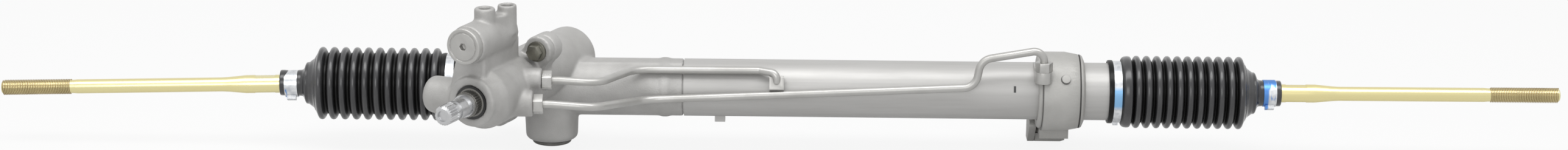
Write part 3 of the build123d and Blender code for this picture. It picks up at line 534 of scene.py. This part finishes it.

# %% Paint the dimple's shadow round its rim
DIMPLE = (252.3, 0, 0)
DIMPLE_TILT = math.radians(32.5)
DIMPLE_UP = 19.2
RIM_INNER, RIM_OUTER = (0.0036, 0.0039), (0.0044, 0.0049)
BAND_FACE = (0.075, 0.2)
SHADOW_SIDE = (-0.6, 0, -0.8)
# Painted shadow: a dark ring round the raised dimple, strongest on its low left side, away from
# the light.
outwards = (0, -math.cos(DIMPLE_TILT), math.sin(DIMPLE_TILT))
far = off_axis(tree, place, DIMPLE, outwards)
rim = times(tree, remap(tree, far, *RIM_INNER), remap(tree, far, *RIM_OUTER, 1.0, 0.0))
face = between(tree, place, outwards, *BAND_FACE, 0.001)
middle = row((DIMPLE[0], 0, DIMPLE_UP)).dot(Vector(SHADOW_SIDE))
slant = distance(tree, place, SHADOW_SIDE)
shadowed_side = remap(tree, slant, middle - 0.003, middle + 0.002, 0.15, 0.9)
cover(cast_mount, times(tree, rim, face, shadowed_side), PAINTED_SHADE)
print("dimple rim", RIM_OUTER[0] / MM, "mm out")

# %% Paint shade at the foot of the yoke boss
YOKE_FOOT = (-48.6, -47.7)
tree, _, place = parts_of(cast_housing)
low, high = (row((0, 0, z)).z for z in YOKE_FOOT)
# Painted shade: a dark line where the yoke boss meets the housing, in its shadow.
cover(cast_housing, times(tree, between(tree, place, (0, 0, 1), low, high, 0.0002), 0.7), PAINTED_SHADE)
print("yoke foot from", round(low, 4), "to", round(high, 4))

# %% [markdown]
# ## Rubber and plastics
# The bellows are moulded rubber with a glossy skin, a coat over a near black base. Dust shows as
# a slightly paler, duller film, and no light reaches the bottoms of the folds. Bushes and seals
# are duller; the seats are nylon. Dust could be a second shader over each, but it only changes
# the colour and the dullness, so one film group serves them all.

# %% The film group
film, film_in, film_out = new_group(
    "Dust film",
    {
        "Vector": "Vector",
        "Base": "Color",
        "Dust": "Color",
        "Smooth": "Float",
        "Dull": "Float",
    },
    LOOK,
)
dusty = remap(film, noise(film, film_in["Vector"], 45.0, 5.0), 0.45, 0.75)
link(film, mixed(film, dusty, film_in["Base"], film_in["Dust"]), film_out["Color"])
rough = remap(film, dusty, 0.0, 1.0, film_in["Smooth"], film_in["Dull"])
link(film, rough, film_out["Roughness"])
link(film, noise(film, film_in["Vector"], 700.0, 2.0), film_out["Height"])
print("group", film.name, "with", len(film.nodes), "nodes")


# %% Mix the plain rubbers and plastics
def rubber(name, base, dust, smooth, dull, coat):
    made, tree, shader, place = start(name)
    values = {"Base": (*base, 1), "Dust": (*dust, 1), "Smooth": smooth, "Dull": dull}
    look = placed(tree, film, {"Vector": place, **values})
    show(tree, look, shader)
    shader.inputs["Coat Weight"].default_value = coat
    shader.inputs["Coat Roughness"].default_value = 0.22
    bump(tree, shader, look["Height"], 0.6, 0.00004)
    return made


bush_rubber = rubber("Bush rubber", (0.016, 0.016, 0.016), (0.045, 0.043, 0.04), 0.6, 0.8, 0.0)
nylon = rubber("Nylon", (0.72, 0.70, 0.62), (0.66, 0.63, 0.54), 0.35, 0.45, 0.0)
ring_plastic = rubber("Ring plastic", (0.06, 0.05, 0.04), (0.10, 0.09, 0.07), 0.35, 0.45, 0.0)
print("rubbers and plastics:", bush_rubber.name, nylon.name, ring_plastic.name)

# %% Blacken the bottoms of the folds
FOLD_DEEP, FOLD_LIT = 0.0295, 0.0316
FOLDS_END, CONE_FROM = 0.413, 0.415
NO_LIGHT = (0.004, 0.004, 0.004)
boot_rubber = rubber(
    "Boot rubber", (0.026, 0.026, 0.028), (0.046, 0.046, 0.048), 0.30, 0.42, 0.5
)
tree, shader, place = parts_of(boot_rubber)
shader.inputs["Specular IOR Level"].default_value = 0.2
valley = remap(tree, off_axis(tree, place), FOLD_DEEP, FOLD_LIT, 1.0, 0.0)
along = maths(tree, "SUBTRACT", distance(tree, place, (1, 0, 0)), TUBE_MIDDLE.x * MM)
folded = remap(tree, maths(tree, "ABSOLUTE", along), FOLDS_END, CONE_FROM, 1.0, 0.0)
deep = times(tree, valley, folded)
cover(boot_rubber, deep, NO_LIGHT)
link(tree, remap(tree, deep, 0.0, 1.0, 0.9, 0.0), shader.inputs["Coat Weight"])
print("folds dark below", FOLD_DEEP / MM, "mm from the middle line")

# %% Show the steel inside the seal's lip
LIP_STEEL, LIP_RUBBER = 0.0124, 0.0128
seal_rubber = rubber("Seal rubber", (0.014, 0.014, 0.014), (0.034, 0.034, 0.034), 0.4, 0.6, 0.1)
tree, _, place = parts_of(seal_rubber)
lip = remap(tree, off_axis(tree, place, PINION, AXIS), LIP_STEEL, LIP_RUBBER, 1.0, 0.0)
cover(seal_rubber, lip, DARK_STEEL)
print("lip", LIP_STEEL / MM, "mm from the pinion's axis")

# %% [markdown]
# ## Ink on the clamps
# The boot clamps are bright steel strip with smears of blue marking ink, no letters. A decal
# would need a drawn image. A noise drawn out round the band and cut to a hard edge makes smears
# of that kind, and two of the clamps also have a painted length, set by place. All four share
# one group.

# %% The ink group
ROUND_BAND = (1.0, 0.35, 0.35)
PALE_STEEL, GREY_STEEL = (0.78, 0.79, 0.80, 1), (0.55, 0.57, 0.60, 1)
ink, ink_in, ink_out = new_group(
    "Ink smears",
    {
        "Vector": "Vector",
        "Ink": "Color",
        "Size": "Float",
        "Share": "Float",
        "Painted": "Float",
    },
    {"Color": "Color", "Roughness": "Float"},
)
smear = noise(ink, stretched(ink, ink_in["Vector"], ROUND_BAND), ink_in["Size"], 3.0)
bare, covered = (maths(ink, "SUBTRACT", full, ink_in["Share"]) for full in (1.0, 1.03))
patch = maths(ink, "MAXIMUM", remap(ink, smear, bare, covered), ink_in["Painted"])
tone = remap(ink, noise(ink, ink_in["Vector"], 220.0, 3.0), 0.35, 0.65)
steel = mixed(ink, tone, PALE_STEEL, GREY_STEEL)
link(ink, mixed(ink, patch, steel, ink_in["Ink"]), ink_out["Color"])
link(ink, remap(ink, smear, 0.3, 0.7, 0.25, 0.4), ink_out["Roughness"])
print("group", ink.name, "with", len(ink.nodes), "nodes")


# %% Ink the clamps
def inked(name, share, blue, size, painted=None, way=(1, 0, 0), faded=0.0012):
    made, tree, shader, place = start(name)
    shader.inputs["Metallic"].default_value = 0.85
    values = {"Vector": place, "Ink": (*blue, 1), "Size": size, "Share": share, "Painted": 0.0}
    if painted:
        low, high = (row(Vector(way) * far).dot(Vector(way)) for far in painted)
        values["Painted"] = between(tree, place, way, low, high, faded)
    show(tree, placed(tree, ink, values), shader)
    return made


clamp_steel = inked("Inked clamp", 0.40, (0.12, 0.28, 0.62), 90.0)
pale_clamp = inked(
    "Pale inked clamp", 0.36, (0.24, 0.46, 0.72), 60.0, (-6.0, 8.0), (0, 0, 1), 0.004
)
blue_clamp = inked("Blue clamp", 0.36, (0.10, 0.26, 0.62), 70.0, (430.0, 436.6))
print("clamps:", clamp_steel.name, pale_clamp.name, blue_clamp.name)

# %% [markdown]
# ## Dress the CAD nodes
# A solid whose shape is already right keeps it, and only gets its material. A line of code for
# each of the 49 nodes would be long to check, so one table goes from each finish to its nodes.

# %% Give each node its finish
FINISH = {
    cast_housing: ["rack_housing"],
    cast_valve: ["valve_housing"],
    cast_mount: ["end_collar", "mount_bracket"],
    drawn_tube: ["cylinder_tube"],
    pipe_metal: ["left_pressure_tube", "right_pressure_tube", "tube_unions", "valve_plug"],
    shaft_metal: ["input_shaft"],
    bright_metal: ["lower_bearing", "upper_bearing", "shaft_bearing"],
    ground_metal: ["rack_bar", "pinion_gear", "control_spool"],
    plain_metal: [
        "pinion_cap", "piston", "left_socket", "right_socket", "left_lock_washer",
        "right_lock_washer", "valve_sleeve", "left_mount_sleeve", "right_mount_sleeve",
    ],
    plug_metal: ["guide_plug"],
    nut_metal: ["tube_nuts"],
    bolt_metal: ["flange_bolts"],
    spring_metal: ["torsion_bar", "spool_spring", "guide_spring"],
    bronze: ["rack_guide", "end_bushing"],
    bush_rubber: ["left_mount_bush", "right_mount_bush"],
    seal_rubber: ["input_seal", "cylinder_seal", "end_seal"],
    ring_plastic: ["piston_ring"],
    nylon: ["left_ball_seat", "right_ball_seat"],
    clamp_steel: ["left_big_clamp", "left_small_clamp"],
    pale_clamp: ["right_big_clamp"],
    blue_clamp: ["right_small_clamp"],
    zinc: ["left_tie_rod", "right_tie_rod"],
    boot_rubber: ["left_boot", "right_boot"],
}
finish_of = {node: material for material, names in FINISH.items() for node in names}
for word, node in nodes.items():
    node.data.materials.clear()
    node.data.materials.append(finish_of[word])
print("dressed", len(finish_of), "of", len(nodes), "nodes")

# %% [markdown]
# ## Cast skins
# Castings have no sharp inner corners: where two forms meet, the pattern leaves a fillet. A
# bevel rounds only edges that already exist, and fails where many meet. So a copy of the solid
# is turned to a fine even mesh by a voxel remesh, then relaxed a few times, which rounds every
# corner a little, as sand casting does.

# %% Remesh and relax a copy
MERGE_WITHIN = 1e-6
RELAX_PASSES = 5
CASTINGS = {"valve_housing": 0.0012, "rack_housing": 0.0013}


def merged_copy(name):
    bm = bmesh.new()
    bm.from_mesh(nodes[name].data)
    bmesh.ops.remove_doubles(bm, verts=bm.verts, dist=MERGE_WITHIN)
    return bm


def finished(made):
    """Applies the live modifiers of a piece."""
    bpy.context.view_layer.update()
    ready = bpy.data.meshes.new_from_object(
        made.evaluated_get(bpy.context.evaluated_depsgraph_get())
    )
    made.modifiers.clear()
    made.data = ready


def cast_skin(name, body, voxel):
    made = piece(name + "_casting", merged_copy(name), finish_of[name])
    remesh = made.modifiers.new("Even mesh", "REMESH")
    remesh.mode = "VOXEL"
    remesh.voxel_size = voxel
    finished(made)
    bm = bmesh.new()
    bm.from_mesh(made.data)
    for _ in range(RELAX_PASSES):
        bmesh.ops.smooth_vert(
            bm, verts=bm.verts, factor=0.5, use_axis_x=True, use_axis_y=True, use_axis_z=True
        )
    bm.to_mesh(made.data)
    bm.free()
    smooth_all(made.data)
    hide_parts(name)
    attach(made, body)
    print(made.name, len(made.data.polygons), "faces after the remesh")


for name, voxel in CASTINGS.items():
    cast_skin(name, "housing", voxel)

# %% [markdown]
# ## Machined edges
# Turned and milled pieces keep their flats, but every edge is broken. A remesh would soften the
# flats, so these get a real bevel: the copy's coplanar triangles are joined into whole faces,
# then the sharp edges get a narrow one.

# %% Bevel a copy
BROKEN = 0.0005
FLAT_WITHIN = math.radians(1)
STEEP = math.radians(40)
BROKEN_EDGES = (
    "flange_bolts", "tube_nuts", "valve_plug", "guide_plug", "end_collar", "tube_unions",
    "mount_bracket",
)


def machined(name, body):
    bm = merged_copy(name)
    bmesh.ops.dissolve_limit(
        bm, angle_limit=FLAT_WITHIN, verts=bm.verts, edges=bm.edges, delimit={"NORMAL"}
    )
    edges = [e for e in bm.edges if len(e.link_faces) == 2 and e.calc_face_angle(0) > STEEP]
    bmesh.ops.bevel(
        bm,
        geom=edges,
        offset=BROKEN,
        offset_type="OFFSET",
        segments=2,
        profile=0.5,
        affect="EDGES",
        material=-1,
        clamp_overlap=True,
    )
    made = piece(name + "_machined", bm, finish_of[name])
    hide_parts(name)
    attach(made, body)


for name in BROKEN_EDGES:
    machined(name, "housing")

# %% [markdown]
# ## The spool spring
# The control spool slides back against its spring, which a rigid piece can't follow. Here the
# spring is only copied to a piece of its own, with its place baked into its mesh; it is not
# blended, so it does not shorten.

# %% Copy the spool spring
spring = piece(
    "spool_spring_coils", merged_copy("spool_spring"), spring_metal
)
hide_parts("spool_spring")
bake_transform(spring)

# %% [markdown]
# ## Tie rods
# Each rod is a forging: a ball, a thick shank with two wrench flats, a taper to the long bar and
# a rolled thread. A bump map could stand for the thread, but its turns show at the outline, so
# they are real. The bar is one lathe profile. The flats are pressed in by moving the shank's
# points to a plane, and the thread is a short zigzag spun and pushed along at once.

# %% Rod sizes
BALL_R = 13.0
NECK_R = 6.0
NECK_END = 16
SHANK_R = 8.2
SHANK_FROM, SHANK_TO = 19.0, 72.0
TAPER_TO = 88.0
BAR_R = 6.4
FLATS = (46.0, 64.0)
FLAT_HALF = 7.0
FLAT_STEP = 0.4
THREAD_FROM, THREAD_TO = 229.0, 293.6
THREAD_R = 6.9
THREAD_ROOT = 6.05
THREAD_PITCH = 1.5
THREAD_LEAD, THREAD_SPARE = 1, 2.6
THREAD_SHARP = math.radians(80)
ROD_STEPS, THREAD_STEPS = 48, 28
print("shank", SHANK_TO - SHANK_FROM, "mm, thread", round(THREAD_TO - THREAD_FROM, 1), "mm long")


# %% Draw the rod and its thread
def rod_profile():
    edge = math.acos(NECK_R / BALL_R)
    steps = 12
    arc = [math.pi + (edge - math.pi / 2 - math.pi) * k / steps for k in range(steps + 1)]
    points = [(BALL_R * math.cos(a), BALL_R * abs(math.sin(a))) for a in arc]
    shank = [(NECK_END, NECK_R), (SHANK_FROM - 0.6, SHANK_R - 0.5), (SHANK_FROM, SHANK_R)]
    for x in FLATS:
        shank += [(x - FLAT_STEP, SHANK_R), (x + FLAT_STEP, SHANK_R)]
    bar = [
        (SHANK_TO, SHANK_R),
        (TAPER_TO, BAR_R + 0.3),
        (TAPER_TO + 6, BAR_R),
        (THREAD_FROM - 4, BAR_R),
        (THREAD_FROM, THREAD_ROOT),
        (THREAD_TO - 1.5, THREAD_ROOT),
        (THREAD_TO - 0.2, THREAD_ROOT - 1.2),
        (THREAD_TO, 0.0),
    ]
    return points + shank + bar


def press_flats(bm):
    low, high = FLATS
    for vert in bm.verts:
        if low < vert.co.x < high:
            vert.co.z = max(-FLAT_HALF, min(FLAT_HALF, vert.co.z))


def thread():
    """A rolled thread: a zigzag of one pitch, spun and moved along by one pitch a turn."""
    bm = bmesh.new()
    start_x, root = THREAD_FROM + THREAD_LEAD, THREAD_ROOT - 0.2
    shape = [(0, root), (0.55, THREAD_R), (0.8, THREAD_R), (1.35, root)]
    verts = [bm.verts.new((start_x + x, 0, radius)) for x, radius in shape]
    edges = [bm.edges.new(pair) for pair in zip(verts, verts[1:] + verts[:1])]
    turns = math.floor((THREAD_TO - THREAD_FROM - THREAD_SPARE) / THREAD_PITCH)
    steps = THREAD_STEPS * turns
    bmesh.ops.spin(
        bm,
        geom=verts + edges,
        cent=(0, 0, 0),
        axis=(1, 0, 0),
        dvec=(THREAD_PITCH * turns / steps, 0, 0),
        angle=2 * math.pi * turns,
        steps=steps,
        use_merge=False,
        use_duplicate=False,
    )
    bmesh.ops.holes_fill(bm, edges=[e for e in bm.edges if e.is_boundary], sides=4)
    bmesh.ops.recalc_face_normals(bm, faces=bm.faces)
    return bm


# %% Forge the two rods
for side in SIGN:
    rod = lathe(rod_profile(), ROD_STEPS, closed=False)
    press_flats(rod)
    bmesh.ops.transform(rod, matrix=outward(side), verts=rod.verts)
    rod_piece = piece(side + "_rod_bar", rod, zinc)
    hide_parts(side + "_tie_rod")
    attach(rod_piece, side + "_rod")
    turns = thread()
    bmesh.ops.transform(turns, matrix=outward(side), verts=turns.verts)
    turns_piece = piece(
        side + "_rod_thread", turns, thread_zinc, THREAD_SHARP
    )
    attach(turns_piece, side + "_rod")

# %% [markdown]
# ## Bellows
# The boot is moulded as one piece, but it crosses three joints: the rack slides, and the tie
# rod's ball swings two ways. A blend bends a piece between two bodies only, so the boot is made
# in three closed lengths, one for each joint: the folds, the cone and the neck. The cone starts
# just inside the last fold and the neck just inside the cone. Each length is listed with its two
# bodies and the span where it would bend, but here no length is bent or tied to a body. The
# profile is a row of narrow ridges outside and a plain wall inside; one level of subdivision
# rounds them.

# %% Boot sizes
TUBE_END = 316.0
RIDGES = 11
FIRST_RIDGE = {"left": 313.7, "right": 318.3}
LAST_RIDGE = 414.0
NECK_FROM = 431.0
BOOT_END = 452.0
BOOT_STEPS = 56
BOOT_SHARP = math.radians(89)
WALL_STEP = 5
RIM = 0.25
RIDGE = (
    (-4.4, 27.6), (-3.3, 29.0), (-2.6, 31.4), (-1.3, 33.0),
    (1.3, 33.0), (2.6, 31.4), (3.3, 29.0), (4.4, 27.6),
)
BIG_END = (
    (292.0, 26.1), (292.0, 28.3), (292.6, 28.8), (296.1, 28.8),
    (296.5, 28.6), (296.6, 27.25), (304.2, 27.25),
)
SHOULDER = {
    "left": ((304.3, 28.6), (306.4, 28.8), (308.6, 28.2)),
    "right": (
        (304.3, 29.2), (305.2, 31.2), (307.0, 32.3),
        (311.4, 32.6), (312.8, 31.6), (313.5, 28.4),
    ),
}
print("boot", BOOT_END - BIG_END[0][0], "mm long with", RIDGES, "ridges")

# %% Cone, neck and wall sizes
SWING_END = 13.0
CONE_R, SWING_R = 26.6, 18.95
CONE = ((0.34, 25.2), (0.36, 23.6), (0.45, 22.0), (0.62, 20.2), (0.66, 19.2))
NECK = ((0.84, 18.8), (0.90, 16.5))
NECK_FOOT = ((-0.3, 12.4), (2, 11.8))
CUFF_FROM = 16.1
CUFF = ((CUFF_FROM, 11.8), (16.0, 11.3), (5.1, 11.3), (5.0, 11.7), (0.4, 11.7), (0, 11.3))
TUBE_BORE, FOLD_BORE = 26.1, 25.3
CONE_BORE, SWING_BORE, NECK_BORE = 23.4, 16.7, 9.0
print("swing bends over", SWING_END, "mm behind the last ridge")


# %% Draw one length of boot
def ridges(first, pitch):
    return [(first + k * pitch + dx, radius) for k in range(RIDGES) for dx, radius in RIDGE]


def wall(x, low, high, near, far):
    """The inner radius at x: `near` up to low, `far` from high on, and straight in between."""
    share = max(0.0, min(1.0, (x - low) / (high - low)))
    return near + share * (far - near)


def wall_back(points, inner):
    """Closes a length of boot with its inner wall, from the far end back to the start."""
    x0, x1 = points[0][0], points[-1][0]
    steps = max(2, round((x1 - x0) / WALL_STEP))
    back = [x1 + (x0 - x1) * k / steps for k in range(steps + 1)]
    return points + [(x, inner(x)) for x in back]


def boot_length(name, points, inner, matrix):
    bm = lathe(wall_back(points, inner), BOOT_STEPS)
    bmesh.ops.transform(bm, matrix=matrix, verts=bm.verts)
    bmesh.ops.recalc_face_normals(bm, faces=bm.faces)
    made = piece(name, bm, boot_rubber, BOOT_SHARP)
    rounded = made.modifiers.new("Rounded", "SUBSURF")
    rounded.levels = 1
    rounded.render_levels = 1
    finished(made)
    smooth_all(made.data)
    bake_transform(made)
    return made


# %% Mould the two boots
for side, sign in SIGN.items():
    seat, rod = side + "_seat", side + "_rod"
    place = Matrix.Translation(row((0, 0, 0))) @ facing(side) @ Matrix.Scale(MM, 4)
    first = FIRST_RIDGE[side]
    last, neck, edge = (x + sign * RACK_REST for x in (LAST_RIDGE, NECK_FROM, BOOT_END))
    pitch = (last - first) / (RIDGES - 1)
    seam, middle = last + RIDGE[-1][0], last + SWING_END

    folds = [*BIG_END, *SHOULDER[side], *ridges(first, pitch)]
    cone = [(seam - RIM, CONE_R), (seam + RIM, CONE_R)]
    cone += [(last + (neck - last) * share, radius) for share, radius in CONE]
    cone += [(middle - RIM, SWING_R), (middle, SWING_R)]
    cuff = [(middle - 2 * RIM, SWING_R - 0.25), (middle - RIM, SWING_R - 0.01)]
    cuff += [(middle + RIM, SWING_R)]
    cuff += [(last + (neck - last) * share, radius) for share, radius in NECK]
    cuff += [(neck + dx, radius) for dx, radius in NECK_FOOT]
    cuff += [(edge - back, radius) for back, radius in CUFF]

    def fold_wall(x):
        return TUBE_BORE if x < TUBE_END + 1 else FOLD_BORE

    def cone_wall(x):
        return wall(x, seam, middle, CONE_BORE, SWING_BORE)

    def neck_wall(x):
        return wall(x, middle, neck, SWING_BORE, NECK_BORE)

    lengths = {
        "_boot_folds": (folds, fold_wall, ("housing", "rack"), (TUBE_END, last - pitch / 2)),
        "_boot_shoulder": (cone, cone_wall, ("rack", seat), (seam + RIM, middle)),
        "_boot_neck": (cuff, neck_wall, (seat, rod), (middle, edge - CUFF_FROM)),
    }
    for word, (points, inner, bodies, bend) in lengths.items():
        ends = [row((sign * x, 0, 0)) for x in bend]
        made = boot_length(side + word, points, inner, place)
        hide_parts(side + "_boot")

# %% [markdown]
# ## Floor and light
# The rack lies on plain white. More light would make any floor white but would clip the pale
# castings, so the floor and the background are made white to the camera, and partly white in
# reflections, by the kind of ray that meets them. The lamps stay low. One wide softbox above
# gives the soft bright band along the tops of the tubes.

# %% Choose by ray
IN_REFLECTIONS = 0.35
FLOOR_SEEN, WORLD_SEEN, WORLD_LIGHT = 0.88, 0.45, 0.55


def share_of_rays(tree, camera):
    rays = tree.nodes.new("ShaderNodeLightPath").outputs
    seen = maths(tree, "MULTIPLY", rays["Is Camera Ray"], camera)
    shone = maths(tree, "MULTIPLY", rays["Is Glossy Ray"], IN_REFLECTIONS)
    through = maths(tree, "MULTIPLY", rays["Is Transmission Ray"], IN_REFLECTIONS)
    return maths(tree, "ADD", maths(tree, "ADD", seen, shone), through)


print("floor", FLOOR_SEEN, "white to the camera,", IN_REFLECTIONS, "in reflections")

# %% Lay the floor
FLOOR_HALF = 30
FLOOR_GAP = 0.0015
FLOOR_GREY = (0.62, 0.62, 0.62, 1)
floor_z = cad_box[0][2] - FLOOR_GAP
floor_bm = bmesh.new()
bmesh.ops.create_grid(floor_bm, x_segments=1, y_segments=1, size=FLOOR_HALF)
bmesh.ops.translate(floor_bm, verts=floor_bm.verts, vec=(0, 0, floor_z))
floor_mat, tree, shader, _ = start("White floor")
shader.inputs["Base Color"].default_value = FLOOR_GREY
shader.inputs["Roughness"].default_value = 0.9
shader.inputs["Specular IOR Level"].default_value = 0.1
white = tree.nodes.new("ShaderNodeEmission")
either = tree.nodes.new("ShaderNodeMixShader")
link(tree, share_of_rays(tree, FLOOR_SEEN), either.inputs["Fac"])
link(tree, shader.outputs["BSDF"], either.inputs[1])
link(tree, white.outputs["Emission"], either.inputs[2])
link(tree, either.outputs["Shader"], tree.nodes["Material Output"].inputs["Surface"])
floor_mesh = bpy.data.meshes.new("Floor")
floor_bm.to_mesh(floor_mesh)
floor_bm.free()
floor_mesh.materials.append(floor_mat)
floor = bpy.data.objects.new("Floor", floor_mesh)
bpy.context.scene.collection.objects.link(floor)
print("floor at", round(floor_z, 4), "m")

# %% Light the world
world = bpy.data.worlds.new("Studio")
bpy.context.scene.world = world
world.use_nodes = True
sky = world.node_tree
backdrop = sky.nodes["Background"]
strength = maths(sky, "ADD", share_of_rays(sky, WORLD_SEEN), WORLD_LIGHT)
link(sky, strength, backdrop.inputs["Strength"])
backdrop.inputs["Color"].default_value = (1, 1, 1, 1)
print("world strength", WORLD_LIGHT, "to the lit pieces")


# %% Hang the lamps
def softbox(name, where, aim, size, power):
    lamp = bpy.data.lights.new(name, "AREA")
    lamp.shape = "RECTANGLE"
    lamp.size, lamp.size_y = size
    lamp.energy = power
    made = bpy.data.objects.new(name, lamp)
    made.location = where
    made.rotation_euler = (Vector(aim) - Vector(where)).to_track_quat("-Z", "Y").to_euler()
    bpy.context.scene.collection.objects.link(made)


CENTRE = Vector((0.256, -0.048, 0.02))
softbox("Top softbox", (0.256, -0.5, 1.5), CENTRE, (2.6, 0.7), 26)
softbox("Front fill", (-0.3, -2.6, 0.9), CENTRE, (1.8, 1.0), 16)

# %% [markdown]
# ## Camera
# The view is from the input side, 15.5 degrees above the rack, from 2.9 m, and rolled a little,
# so the free end sits slightly lower in the frame. A lens length could be set by eye; here it is
# worked out from how many millimetres of the rack one pixel covers, which makes it 74 mm.

# %% Place the camera
ELEVATION = math.radians(15.5)
DISTANCE = 2.9
ROLL = math.radians(0.63)
PIXEL_WIDTH = 2576
MM_A_PIXEL = 0.55
SENSOR = 36.0
aim_at = row((0, 0, 12.3))
lens = bpy.data.cameras.new("Studio camera")
lens.sensor_width = SENSOR
lens.sensor_fit = "HORIZONTAL"
lens.lens = DISTANCE / MM / MM_A_PIXEL / PIXEL_WIDTH * SENSOR
lens.clip_end = 60
camera = bpy.data.objects.new("Studio camera", lens)
camera.location = aim_at + DISTANCE * Vector((0, -math.cos(ELEVATION), math.sin(ELEVATION)))
look = (aim_at - camera.location).to_track_quat("-Z", "Y").to_matrix().to_4x4()
camera.matrix_world = Matrix.Translation(camera.location) @ look @ Matrix.Rotation(ROLL, 4, "Z")
bpy.context.scene.collection.objects.link(camera)
bpy.context.scene.camera = camera
bpy.context.scene.view_settings.view_transform = "Standard"
print("lens", round(lens.lens, 2), "mm at", tuple(round(v, 3) for v in camera.location))
